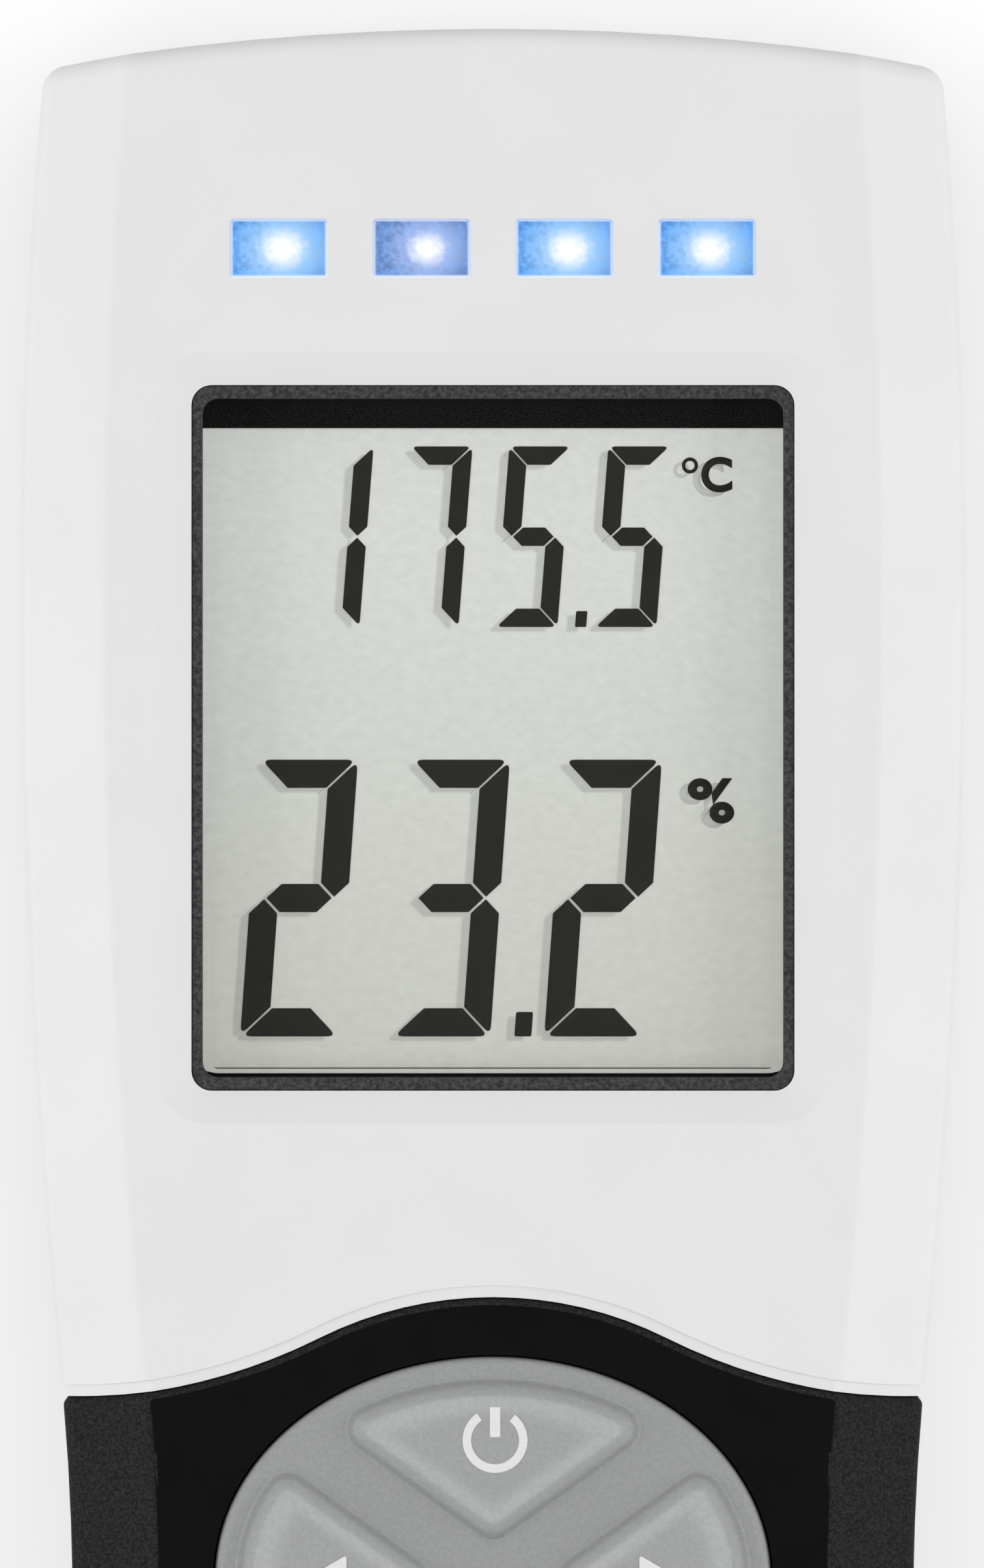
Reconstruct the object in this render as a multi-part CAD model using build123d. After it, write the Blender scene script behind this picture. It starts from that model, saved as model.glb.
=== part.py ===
from build123d import *
from math import asin, atan2, cos, sin, sqrt
import os

# Cooking oil tester: a hand-held body with a display, four status windows and a keypad,
# and a steel probe whose ceramic sensor is dipped into the hot oil.
# The tester lies on its back: +Z leaves the display, +Y points to the head, X is the width.
# Distances along the tester are stations, counted from the crown of the head towards the tip.

# Overall sizes
BODY_LENGTH = 152.0
HEAD_WIDTH = 50.0
THICKNESS = 27.0
WALL = 2.0
SPLIT_Z = 15.0
PROBE_Z = 15.0

# Plan outline: side arcs from the crown to the nose
CROWN_RADIUS = 140.0
CROWN_CORNER = 1.4
SHOULDER_RADIUS = 300.0
CHEEK_RADIUS = 410.0
WAIST_RADIUS = 120.0
NOSE_WIDTH = 26.55
WIDEST_STATION = 29.35
INFLECTION_STATION = 71.0
NOSE_CORNER = 4.0
OUTLINE_OVERRUN = 12.0

# Side profile: the curved lengths of back and front before the nose, and how far they bend
BACK_CURVE_LENGTH = 16.0
BACK_RISE = 2.6
FRONT_CURVE_LENGTH = 40.0
FRONT_DROP = 1.5

# Long facets along both sides
FRONT_FACET_WIDTH = 4.6
FRONT_FACET_DROP = 2.6
BACK_FACET_WIDTH = 4.0
BACK_FACET_RISE = 5.0
EDGE_ROUNDING = 1.0

# Wavy joint between the white front cover and the dark grip cover
WAVE_CREST_STATION = 66.86
WAVE_DROP = 5.33
WAVE_HALF_SPAN = 22.6
WAVE_CREST_RADIUS = 20.5
WAVE_LIP_WIDTH = 0.62
WAVE_LIP_DEPTH = 0.2
GRIP_EDGE_ROUNDING = 0.45
LAP_LENGTH = 1.6

# Fits
SEAM = 0.05
FIT = 0.1
SLIDE = 0.1

# Joint of the halves: a tongue on the rear shell, a groove and a seal in the front covers
GROOVE_INSET = 0.5
GROOVE_WIDTH = 1.0
GROOVE_DEPTH = 1.9
TONGUE_HEIGHT = 1.0
SEAL_HEIGHT = 0.8
PROBE_GAP_RADIUS = 8.4

# Display window and its recess
WINDOW_STATION = 37.4
WINDOW_WIDTH = 31.8
WINDOW_HEIGHT = 37.2
WINDOW_CORNER = 1.07
DISH_MARGIN = 1.75
DISH_CORNER = 2.6
DISH_DEPTH = 0.6
GASKET_RIM = 0.6
GASKET_TOP = 26.3
GASKET_FLANGE_MARGIN = 1.0
GASKET_FLANGE_HEIGHT = 0.9
LENS_TOP = 26.75
LENS_CORNER = 0.8
LENS_TRIM = 0.28
LENS_BEVEL = 0.43
LENS_FLANGE_MARGIN = 1.0
LENS_FLANGE_HEIGHT = 0.8
RIB_WALL = 1.0

# Display and its frame
LCD_WIDTH = 33.0
LCD_HEIGHT = 38.6
LCD_THICKNESS = 1.9
LCD_LEDGE = 1.6
LCD_GLASS = 0.9
BEZEL_THICKNESS = 0.4
BEZEL_OPENING_WIDTH = 31.5
BEZEL_OPENING_HEIGHT = 33.86
BEZEL_SHIFT = 0.52
FRAME_WALL = 1.0
STRIP_WIDTH = 2.0
STRIP_LENGTH = 31.0
STRIP_EDGE = 0.5

# Status windows
STATUS_STATION = 11.6
STATUS_PITCH = 7.52
STATUS_COUNT = 4
STATUS_WIDTH = 5.16
STATUS_HEIGHT = 3.1
STATUS_CORNER = 0.25
STATUS_FLANGE = 0.6
STATUS_FLANGE_HEIGHT = 0.8
STATUS_RECESS = 0.08
STEM_WIDTH = 4.0
STEM_DEPTH = 2.2
LED_WIDTH = 3.2
LED_DEPTH = 1.6
LED_HEIGHT = 1.1
LED_GAP = 0.3

# Circuit board
BOARD_TOP = 18.8
BOARD_THICKNESS = 1.6
BOARD_CORNER = 1.0
BOARD_HEAD_START = 6.0
BOARD_HEAD_END = 14.0
BOARD_HEAD_HALF_WIDTH = 15.8
BOARD_EDGE_GAP = 1.6
BOARD_MAIN_END = 62.0
BOARD_TAIL_HALF_WIDTH = 15.8
BOARD_PAST_KEYPAD = 8.0
BOARD_PAST_CONTACTS = 8.5
CHIP_STATION = 44.0
CHIP_SIZE = 10.0
CHIP_HEIGHT = 1.4
CHIP_LEADS = 11
CHIP_LEAD_PITCH = 0.8
CHIP_LEAD_WIDTH = 0.35
CHIP_LEAD_LENGTH = 1.0
CHIP_LEAD_THICKNESS = 0.2
CONNECTOR_LENGTH = 7.0
CONNECTOR_WIDTH = 8.0
CONNECTOR_HEIGHT = 4.4

# Keypad: an oval rubber pad with four keys between the arms of a cross
KEYPAD_STATION = 81.7
KEYPAD_HALF_WIDTH = 14.66
KEYPAD_HALF_HEIGHT = 11.7
KEYPAD_TOP = 27.1
KEYPAD_EDGE_ROUNDING = 0.5
KEYPAD_FLANGE_MARGIN = 1.6
KEYPAD_FLANGE_HEIGHT = 1.2
KEYPAD_RIM_WALL = 1.2
KEY_MARGIN = 1.2
KEY_BAND = 3.0
KEY_BAND_ANGLE = 35.5
KEY_CORNER = 1.2
KEY_RISE = 0.8
KEY_TOP_ROUNDING = 0.7
KEY_BOTTOM = 21.6
KEY_TRAVEL = 0.8
PILL_RADIUS = 1.6
PILL_HEIGHT = 0.5
PAD_THICKNESS = 0.1
PAD_RADIUS = 2.2
PAD_SLIT = 0.4
PRESS_MARGIN = 0.1
STEM_RADIUS = 2.0
SIDE_KEY_OFFSET = 9.2
END_KEY_OFFSET = 6.9

# Case screws, driven from the back
CASE_SCREW_HEAD_STATION = 8.6
CASE_SCREW_WAIST_STATION = 77.0
CASE_SCREW_PAST_BOARD = 7.0
CASE_SCREW_GAPS = (0.88, 0.02, 0.82)
CASE_SCREW_RADIUS = 1.1
CASE_SCREW_LENGTH = 9.0
CASE_HEAD_RADIUS = 1.9
CASE_HEAD_HEIGHT = 1.6
CASE_SEAT_Z = 5.0
CASE_JOINT_Z = 10.0
CASE_BORE_RADIUS = 2.3
CASE_PILLAR_RADIUS = 3.3
CASE_POST_RADIUS = 2.2
SCREW_CLEARANCE = 0.15
PILOT_CLEARANCE = 0.05
PILOT_DEPTH = 0.5
RECESS_WIDTH = 0.5
RECESS_LENGTH = 2.0
RECESS_DEPTH = 0.8

# Board screws, driven from the back into posts of the front covers
BOARD_SCREW_EDGE = 1.8
BOARD_SCREW_HEAD_STATION = 17.0
BOARD_SCREW_MAIN_MARGIN = 4.0
BOARD_SCREW_TAIL_MARGIN = 5.0
BOARD_SCREW_RADIUS = 0.9
BOARD_SCREW_LENGTH = 6.0
BOARD_HEAD_RADIUS = 1.6
BOARD_HEAD_HEIGHT = 1.2
BOARD_POST_RADIUS = 1.8
POST_RIB = 1.0

# Battery bay with two AAA cells
CELL_RADIUS = 5.25
CELL_LENGTH = 44.5
CELL_NUB_RADIUS = 1.9
CELL_NUB_HEIGHT = 0.8
CELL_GAP = 0.3
CELL_EDGE = 0.4
BAY_NOSE_LENGTH = 10.0
BAY_CLEARANCE = 0.2
BAY_WALL = 1.4
BAY_CEILING = 0.6
BAY_END_WALL = 1.2
CONTACT_THICKNESS = 0.4
CONTACT_WIDTH = 8.6
CONTACT_HEIGHT = 8.8
CONTACT_BOTTOM = 3.2
CONTACT_TAB_WIDTH = 2.4
CONTACT_GAP = 0.2
SPRING_LENGTH = 2.0
SPRING_RADIUS = 3.4
SPRING_WIRE = 0.25
SPRING_TURNS = 2.5
SPRING_CONE = 25.0

# Sliding battery cover
COVER_LAP = 2.5
COVER_THICKNESS = 2.0
COVER_SET_BACK = 0.2
COVER_BLOCK_LENGTH = 8.2
COVER_BLOCK_HEIGHT = 4.9
COVER_RUNNER_WIDTH = 1.0
COVER_RUNNER_HEIGHT = 0.8
COVER_RUNNER_INSET = 0.5
COVER_RUNNER_NOSE_LENGTH = 16.0
NOSE_FLOOR = 1.6
GRIP_RECESS_INSET = 14.0
GRIP_RECESS_RADIUS = 24.0
GRIP_RECESS_WIDTH = 13.0
GRIP_RECESS_DEPTH = 0.9
GRIP_RIB_COUNT = 4
GRIP_RIB_PITCH = 2.2
GRIP_RIB_WIDTH = 0.8
GRIP_RIB_HEIGHT = 0.5

# Probe root, clamped between the halves
ROOT_FLANGE_RADIUS = 7.5
ROOT_FLANGE_LENGTH = 4.0
ROOT_SHANK_RADIUS = 6.0
ROOT_BORE_RADIUS = 2.2
ROOT_SPIGOT_LENGTH = 11.0
SADDLE_THICKNESS = 2.0
SADDLE_HALF_WIDTH = 9.0
SADDLE_NOTCH_RADIUS = 3.2
ROOT_SEAL_WIDTH = 1.0
ROOT_SEAL_DEPTH = 0.7
ROOT_SEAL_INSET = 0.5

# Probe collar
COLLAR_LENGTH = 9.0
COLLAR_ROOT_RADIUS = 9.2
COLLAR_TIP_RADIUS = 6.6
COLLAR_RINGS = 3
COLLAR_RING_GROOVE = 0.9
COLLAR_RING_DEPTH = 0.7

# Probe tube and sensor end
TUBE_RADIUS = 5.0
TUBE_WALL = 0.6
TUBE_LENGTH = 155.0
GUARD_LENGTH = 38.0
GUARD_RADIUS = 4.8
GUARD_WALL = 0.9
GUARD_SPIGOT_LENGTH = 8.0
GUARD_BASE = 6.0
GUARD_TIP = 6.0
GUARD_TIP_ROUNDING = 4.0
GUARD_WINDOW_WIDTH = 6.6
GUARD_WINDOW_MARGIN = 1.0
DRAIN_RADIUS = 0.7
PLUG_RADIUS = 3.15
PLUG_LENGTH = 13.5
PLATE_WIDTH = 7.4
PLATE_THICKNESS = 1.0
PLATE_LENGTH = 21.5
PLATE_GAP = 1.5
PLATE_ROOT_WIDTH = 5.0
PLATE_ROOT_LENGTH = 11.0
PLATE_CORNER = 0.8
ELECTRODE_THICKNESS = 0.08
ELECTRODE_LINE = 0.4
ELECTRODE_PITCH = 1.7
ELECTRODE_FINGERS = 10
ELECTRODE_MARGIN = 0.5
ELECTRODE_TIP_GAP = 0.5
ELECTRODE_LEAD_OFFSET = 1.4
BEAD_LENGTH = 2.4
BEAD_WIDTH = 1.5
BEAD_HEIGHT = 0.8
BEAD_INSET = 15.0
BEAD_LEAD_RADIUS = 0.15
BEAD_LEAD_OFFSET = 0.4

# Sensor cable inside the tube and the body
CABLE_RADIUS = 1.5
CABLE_BOARD_Z = 21.0
CABLE_ROOT_LENGTH = 10.0
CABLE_LEVEL_SHARE = 0.6
CABLE_BEND_SHARE = 0.4

# Sizes that follow from those above
TOTAL_LENGTH = BODY_LENGTH + COLLAR_LENGTH + TUBE_LENGTH + GUARD_LENGTH
BOARD_BOTTOM = BOARD_TOP - BOARD_THICKNESS
INNER_TOP = THICKNESS - WALL
LENS_WIDTH = WINDOW_WIDTH - 2 * GASKET_RIM
LENS_HEIGHT = WINDOW_HEIGHT - 2 * GASKET_RIM - LENS_TRIM
GASKET_FLANGE_BOTTOM = INNER_TOP - GASKET_FLANGE_HEIGHT
FRAME_TOP = GASKET_FLANGE_BOTTOM - LENS_FLANGE_HEIGHT
LCD_TOP = FRAME_TOP - BEZEL_THICKNESS
LCD_BOTTOM = LCD_TOP - LCD_THICKNESS
KEY_TOP = KEYPAD_TOP + KEY_RISE
FLANGE_TOP = BOARD_TOP + KEYPAD_FLANGE_HEIGHT
PILL_BOTTOM = BOARD_TOP + PAD_THICKNESS + PRESS_MARGIN + KEY_TRAVEL
CELL_Z = COVER_THICKNESS + BAY_CLEARANCE + CELL_RADIUS
BAY_TOP = CELL_Z + CELL_RADIUS + BAY_CLEARANCE
CELL_OFFSET = CELL_RADIUS + CELL_GAP / 2
BAY_HALF_WIDTH = CELL_OFFSET + CELL_RADIUS + CELL_GAP / 2
BAY_LENGTH = CELL_LENGTH + SPRING_LENGTH + 2 * CONTACT_THICKNESS + CONTACT_GAP
BAY_END = BODY_LENGTH - BAY_NOSE_LENGTH
BAY_START = BAY_END - BAY_LENGTH
COVER_START = BAY_START - COVER_LAP
COVER_BLOCK_START = BODY_LENGTH - COVER_BLOCK_LENGTH
COVER_RUNNER_START = BAY_START + COVER_RUNNER_INSET
COVER_RUNNER_END = BODY_LENGTH - COVER_RUNNER_NOSE_LENGTH
GRIP_RECESS_STATION = COVER_START + GRIP_RECESS_INSET
KEYPAD_END = KEYPAD_STATION + KEYPAD_HALF_HEIGHT + KEYPAD_FLANGE_MARGIN
BOARD_MAIN_HALF_WIDTH = HEAD_WIDTH / 2 - WALL - BOARD_EDGE_GAP
BOARD_TAIL_END = max(KEYPAD_END + BOARD_PAST_KEYPAD, BAY_START + BOARD_PAST_CONTACTS)
BOARD_SCREW_PLACES = (
    (BOARD_MAIN_HALF_WIDTH - BOARD_SCREW_EDGE, BOARD_SCREW_HEAD_STATION),
    (BOARD_MAIN_HALF_WIDTH - BOARD_SCREW_EDGE, BOARD_MAIN_END - BOARD_SCREW_MAIN_MARGIN),
    (BOARD_TAIL_HALF_WIDTH - BOARD_SCREW_EDGE, BOARD_TAIL_END - BOARD_SCREW_TAIL_MARGIN),
)
CABLE_RISE_START = BODY_LENGTH - CABLE_ROOT_LENGTH
CABLE_RUN = CABLE_RISE_START - BOARD_TAIL_END
CABLE_RISE_END = BOARD_TAIL_END + CABLE_RUN * CABLE_LEVEL_SHARE
CABLE_BEND_RADIUS = CABLE_RUN * CABLE_BEND_SHARE
COVER_HALF_WIDTH = BAY_HALF_WIDTH - SLIDE / 2
ROOT_FLANGE_START = BODY_LENGTH - WALL - ROOT_FLANGE_LENGTH
TUBE_START = BODY_LENGTH + COLLAR_LENGTH
TUBE_END = TUBE_START + TUBE_LENGTH
TUBE_BORE_RADIUS = TUBE_RADIUS - TUBE_WALL
SPIGOT_RADIUS = TUBE_BORE_RADIUS - SEAM
GUARD_END = TUBE_END + GUARD_LENGTH
GUARD_CAVITY_START = TUBE_END + GUARD_BASE
GUARD_CAVITY_END = GUARD_END - GUARD_TIP
PLUG_START = TUBE_END - GUARD_SPIGOT_LENGTH
PLUG_END = PLUG_START + PLUG_LENGTH
PLATE_START = PLUG_END + PLATE_GAP
PLATE_END = PLATE_START + PLATE_LENGTH
BEAD_STATION = PLATE_START + BEAD_INSET
PLATE_TOP = PROBE_Z + PLATE_THICKNESS / 2
PLATE_BOTTOM = PROBE_Z - PLATE_THICKNESS / 2


def station(distance):
    """Y of a point this far below the crown."""
    return TOTAL_LENGTH / 2 - distance


def block(x_size, start, end, bottom, top, x_centre=0.0):
    """A box between two stations and two heights."""
    place = Pos(x_centre, station((start + end) / 2), (bottom + top) / 2)
    return place * Box(x_size, end - start, top - bottom)


def post(x, distance, radius, bottom, top):
    """An upright cylinder between two heights."""
    return Pos(x, station(distance), (bottom + top) / 2) * Cylinder(radius, top - bottom)


def rod(radius, start, end):
    """A cylinder along the probe's axis between two stations."""
    place = Pos(0, station((start + end) / 2), PROBE_Z) * Rot(90, 0, 0)
    return place * Cylinder(radius, end - start)


def prism(face, bottom, top):
    """A face in the XY plane, raised between two heights."""
    return Pos(0, 0, bottom) * extrude(face, amount=top - bottom)


def rounded_face(width, height, corner, distance, x=0.0):
    """A rounded rectangle round a point of the centre line."""
    return Pos(x, station(distance)) * RectangleRounded(width, height, corner)


def turned(points):
    """A solid of revolution about the probe's axis, from (radius, station) pairs."""
    corners = [(radius, station(distance)) for radius, distance in points]
    section = make_face(Polyline(corners, close=True))
    return Pos(0, 0, PROBE_Z) * revolve(section, axis=Axis.Y)


def mirrored(solid):
    """A solid and its mirror image across the centre plane."""
    return solid + mirror(solid, about=Plane.YZ)


def both_sides(places):
    """Each (x, station) place and its mirror image."""
    return [(side * x, distance) for x, distance in places for side in (1, -1)]


# Outer form of the housing

def side_arcs():
    """Arcs of one side: centre x, centre station, radius, bulge sign, first and last station."""
    half = HEAD_WIDTH / 2
    swing = asin((INFLECTION_STATION - WIDEST_STATION) / CHEEK_RADIUS)
    inflection_x = half - CHEEK_RADIUS * (1 - cos(swing))
    waist_station = INFLECTION_STATION + WAIST_RADIUS * sin(swing)
    waist_x = inflection_x - WAIST_RADIUS * (1 - cos(swing))
    narrowing = waist_x - NOSE_WIDTH / 2
    grip_length = BODY_LENGTH - waist_station
    grip_radius = (narrowing * narrowing + grip_length * grip_length) / (2 * narrowing)
    return (
        (half - SHOULDER_RADIUS, WIDEST_STATION, SHOULDER_RADIUS, 1, -OUTLINE_OVERRUN, WIDEST_STATION),
        (half - CHEEK_RADIUS, WIDEST_STATION, CHEEK_RADIUS, 1, WIDEST_STATION, INFLECTION_STATION),
        (waist_x + WAIST_RADIUS, waist_station, WAIST_RADIUS, -1, INFLECTION_STATION, waist_station),
        (waist_x - grip_radius, waist_station, grip_radius, 1, waist_station, BODY_LENGTH + OUTLINE_OVERRUN),
    )


def side_point(arc, distance, side):
    """The point of a side arc at a station, on the right (1) or left (-1) side."""
    centre_x, centre_station, radius, bulge = arc[:4]
    reach = sqrt(radius * radius - (distance - centre_station) ** 2)
    return (side * (centre_x + bulge * reach), station(distance))


def case_screw_places():
    """Each right-hand case screw as (x, station), close to the side wall."""
    stations = (CASE_SCREW_HEAD_STATION, CASE_SCREW_WAIST_STATION, BOARD_TAIL_END + CASE_SCREW_PAST_BOARD)
    places = []
    for distance, gap in zip(stations, CASE_SCREW_GAPS):
        arc = [arc for arc in side_arcs() if arc[4] <= distance][-1]
        x = side_point(arc, distance, 1)[0] - WALL - CASE_POST_RADIUS - gap
        places.append((x, distance))
    return places


def sides_face():
    """The plan between the two sides, running on past the crown and the nose."""
    arcs = side_arcs()
    edges = []
    for side in (1, -1):
        for arc in arcs:
            start, end = arc[4:]
            middle = (start + end) / 2
            points = [side_point(arc, distance, side) for distance in (start, middle, end)]
            edges.append(ThreePointArc(*points))
    for arc, distance in ((arcs[0], arcs[0][4]), (arcs[-1], arcs[-1][5])):
        edges.append(Line(side_point(arc, distance, 1), side_point(arc, distance, -1)))
    return make_face(edges)


def plan_face(inset):
    """The whole plan outline, cut at the crown and the nose, with its corners rounded."""
    length = BODY_LENGTH - inset
    face = offset(sides_face(), amount=-inset) if inset else sides_face()
    face = face & (Pos(0, station(CROWN_RADIUS)) * Circle(CROWN_RADIUS - inset))
    face = face & (Pos(0, station(length / 2)) * Rectangle(HEAD_WIDTH * 2, length))
    corners = face.vertices().sort_by(Axis.Y)
    face = fillet(corners[-2:], max(CROWN_CORNER - inset, FIT))
    corners = face.vertices().sort_by(Axis.Y)
    return fillet(corners[:2], NOSE_CORNER - inset)


def tangent_arc(start, end, rise):
    """An arc that leaves a level line at start and ends at end, curving up (1) or down (-1)."""
    run = start[0] - end[0]
    lift = abs(end[1] - start[1])
    radius = (run * run + lift * lift) / (2 * lift)
    middle = (start[0] - run / 2, start[1] + rise * (radius - sqrt(radius * radius - run * run / 4)))
    return ThreePointArc(start, middle, end)


def profile_face():
    """The side profile, with a back that curves up and a front that drops towards the nose."""
    head = station(-OUTLINE_OVERRUN)
    nose = station(BODY_LENGTH)
    back_start = (station(BODY_LENGTH - BACK_CURVE_LENGTH), 0)
    back_end = (nose, BACK_RISE)
    front_start = (station(BODY_LENGTH - FRONT_CURVE_LENGTH), THICKNESS)
    front_end = (nose, THICKNESS - FRONT_DROP)
    return make_face([
        Line((head, 0), back_start),
        tangent_arc(back_start, back_end, 1),
        Line(back_end, front_end),
        tangent_arc(front_start, front_end, -1),
        Line(front_start, (head, THICKNESS)),
        Line((head, THICKNESS), (head, 0)),
    ])


def facet(body, direction, width, drop):
    """Cut a long facet along both sides of the front (1) or the back (-1)."""
    levels = [face for face in body.faces() if face.normal_at().Z * direction > 1 - 1e-6]
    level = max(levels, key=lambda face: face.area)
    side_edges = [edge for edge in level.edges() if abs((edge @ 0.5).X) > HEAD_WIDTH / 4]
    right = max((edge for edge in side_edges if (edge @ 0.5).X > 0), key=lambda edge: (edge @ 0.5).Y)
    left = max((edge for edge in side_edges if (edge @ 0.5).X < 0), key=lambda edge: (edge @ 0.5).Y)
    return chamfer([right, left], length=width, length2=drop, reference=level)


def housing_form(inset):
    """The body of the tester as one solid, or the same form drawn in all round."""
    plan = offset(sides_face(), amount=-inset) if inset else sides_face()
    profile = offset(profile_face(), amount=-inset) if inset else profile_face()
    body = extrude(plan, amount=THICKNESS) & extrude(Plane.YZ * profile, amount=HEAD_WIDTH, both=True)
    body = facet(body, 1, FRONT_FACET_WIDTH, FRONT_FACET_DROP)
    body = facet(body, -1, BACK_FACET_WIDTH, BACK_FACET_RISE)
    return body & prism(plan_face(inset), 0, THICKNESS)


def edges_rounded(body):
    """The body with the edges of its front and its back rounded."""
    front = [edge for edge in body.edges() if edge.bounding_box().min.Z > THICKNESS * 0.7]
    body = fillet(front, EDGE_ROUNDING)
    back = [edge for edge in body.edges() if edge.bounding_box().max.Z < THICKNESS * 0.4]
    return fillet(back, EDGE_ROUNDING)


def wave_region(shift):
    """Plan area on the nose side of the wavy joint, with the joint moved towards the head by shift."""
    crest_y = station(WAVE_CREST_STATION)
    radius_sum = (WAVE_HALF_SPAN ** 2 + WAVE_DROP ** 2) / (2 * WAVE_DROP)
    crest_radius = WAVE_CREST_RADIUS + shift
    valley_radius = radius_sum - WAVE_CREST_RADIUS - shift
    crest_centre_y = crest_y - WAVE_CREST_RADIUS
    valley_centre_y = crest_y - WAVE_DROP + radius_sum - WAVE_CREST_RADIUS
    lean = atan2(WAVE_HALF_SPAN, valley_centre_y - crest_centre_y)
    inflection = (crest_radius * sin(lean), crest_centre_y + crest_radius * cos(lean))
    half_lean = lean / 2
    valley_middle = (
        WAVE_HALF_SPAN - valley_radius * sin(half_lean),
        valley_centre_y - valley_radius * cos(half_lean),
    )
    shore_y = crest_y - WAVE_DROP + shift
    valley_end = (WAVE_HALF_SPAN, shore_y)
    outer = (HEAD_WIDTH, shore_y)
    far = (HEAD_WIDTH, station(BODY_LENGTH + OUTLINE_OVERRUN))
    edges = [ThreePointArc(flip(inflection), (0, crest_y + shift), inflection), Line(flip(far), far)]
    for turn in (flip, keep):
        edges.append(ThreePointArc(turn(inflection), turn(valley_middle), turn(valley_end)))
        edges.append(Line(turn(valley_end), turn(outer)))
        edges.append(Line(turn(outer), turn(far)))
    return make_face(edges)


def flip(point):
    """A plan point mirrored to the other side."""
    return (-point[0], point[1])


def keep(point):
    """A plan point on its own side."""
    return point


def joint_ring(inset, width, bottom, top):
    """A ring that follows the plan outline, open where the probe root passes."""
    ring = plan_face(inset) - plan_face(inset + width)
    return prism(ring, bottom, top) - rod(PROBE_GAP_RADIUS, BAY_END, BODY_LENGTH + WALL)


# Housing shells

def half_space(bottom, top):
    """A slab wider than the body."""
    return block(HEAD_WIDTH * 2, -OUTLINE_OVERRUN, BODY_LENGTH + OUTLINE_OVERRUN, bottom, top)


def front_wall(outer, inner):
    """The shell above the joint plane, with the groove for tongue and seal."""
    wall = (outer - inner) & half_space(SPLIT_Z, THICKNESS + WALL)
    return wall - joint_ring(GROOVE_INSET, GROOVE_WIDTH, SPLIT_Z, SPLIT_Z + GROOVE_DEPTH)


def window_cut():
    """The display window with its shallow recess."""
    opening = rounded_face(WINDOW_WIDTH, WINDOW_HEIGHT, WINDOW_CORNER, WINDOW_STATION)
    margin = 2 * DISH_MARGIN
    rim = rounded_face(WINDOW_WIDTH + margin, WINDOW_HEIGHT + margin, DISH_CORNER, WINDOW_STATION)
    dish = loft([Pos(0, 0, THICKNESS - DISH_DEPTH) * opening, Pos(0, 0, THICKNESS) * rim])
    return prism(opening, INNER_TOP - WALL, THICKNESS) + dish


def status_centres():
    """The x of each status window."""
    middle = (STATUS_COUNT - 1) / 2
    return [(index - middle) * STATUS_PITCH for index in range(STATUS_COUNT)]


def window_rib():
    """The rib behind the front wall that locates the gasket and the display window."""
    width = WINDOW_WIDTH + 2 * GASKET_FLANGE_MARGIN + 2 * FIT
    height = WINDOW_HEIGHT + 2 * GASKET_FLANGE_MARGIN + 2 * FIT
    wall = 2 * RIB_WALL
    outer = rounded_face(width + wall, height + wall, WINDOW_CORNER + RIB_WALL, WINDOW_STATION)
    inner = rounded_face(width, height, WINDOW_CORNER, WINDOW_STATION)
    return prism(outer - inner, FRAME_TOP + FIT, INNER_TOP)


def case_posts(places, trim):
    """Posts that take the case screws, joined to the front wall."""
    posts = Part()
    for x, distance in both_sides(places):
        posts += post(x, distance, CASE_POST_RADIUS, CASE_JOINT_Z, THICKNESS)
    return posts & trim


def case_pilots(places):
    """Pilot holes for the case screws."""
    end = CASE_SEAT_Z + CASE_SCREW_LENGTH + PILOT_DEPTH
    holes = Part()
    for x, distance in both_sides(places):
        holes += post(x, distance, CASE_SCREW_RADIUS + PILOT_CLEARANCE, CASE_JOINT_Z, end)
    return holes


def board_posts(places, trim):
    """Posts that carry the circuit board, each with a rib to the side wall."""
    posts = Part()
    for x, distance in both_sides(places):
        posts += post(x, distance, BOARD_POST_RADIUS, BOARD_TOP, THICKNESS)
        reach = HEAD_WIDTH / 2 - abs(x)
        side = 1 if x > 0 else -1
        rib_x = side * (abs(x) + reach / 2)
        half = POST_RIB / 2
        posts += block(reach, distance - half, distance + half, BOARD_TOP, THICKNESS, rib_x)
    return posts & trim


def board_pilots(places):
    """Pilot holes for the board screws."""
    end = BOARD_BOTTOM + BOARD_SCREW_LENGTH + PILOT_DEPTH
    holes = Part()
    for x, distance in both_sides(places):
        holes += post(x, distance, BOARD_SCREW_RADIUS + PILOT_CLEARANCE, BOARD_TOP, end)
    return holes


def front_cover(outer, inner, trim):
    """The white cover over the display, with its lapped and lipped lower edge."""
    above = half_space(SPLIT_Z, THICKNESS + WALL)
    beyond = prism(wave_region(0), SPLIT_Z, THICKNESS)
    cover = front_wall(outer, inner) - beyond
    strip = prism(wave_region(WAVE_LIP_WIDTH), SPLIT_Z, THICKNESS)
    cover -= strip & (outer - housing_form(WAVE_LIP_DEPTH))
    lap = prism(wave_region(0) - wave_region(-LAP_LENGTH), SPLIT_Z + GROOVE_DEPTH, THICKNESS)
    cover += (housing_form(WALL / 2 + SEAM) - inner) & lap & above
    cover += window_rib()
    cover += case_posts(case_screw_places()[:1], trim)
    cover += board_posts(BOARD_SCREW_PLACES[:2], trim)
    cover -= case_pilots(case_screw_places()[:1])
    cover -= board_pilots(BOARD_SCREW_PLACES[:2])
    cover -= window_cut()
    for x in status_centres():
        window = rounded_face(STATUS_WIDTH, STATUS_HEIGHT, STATUS_CORNER, STATUS_STATION, x)
        cover -= prism(window, INNER_TOP - WALL, THICKNESS)
    return cover


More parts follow.
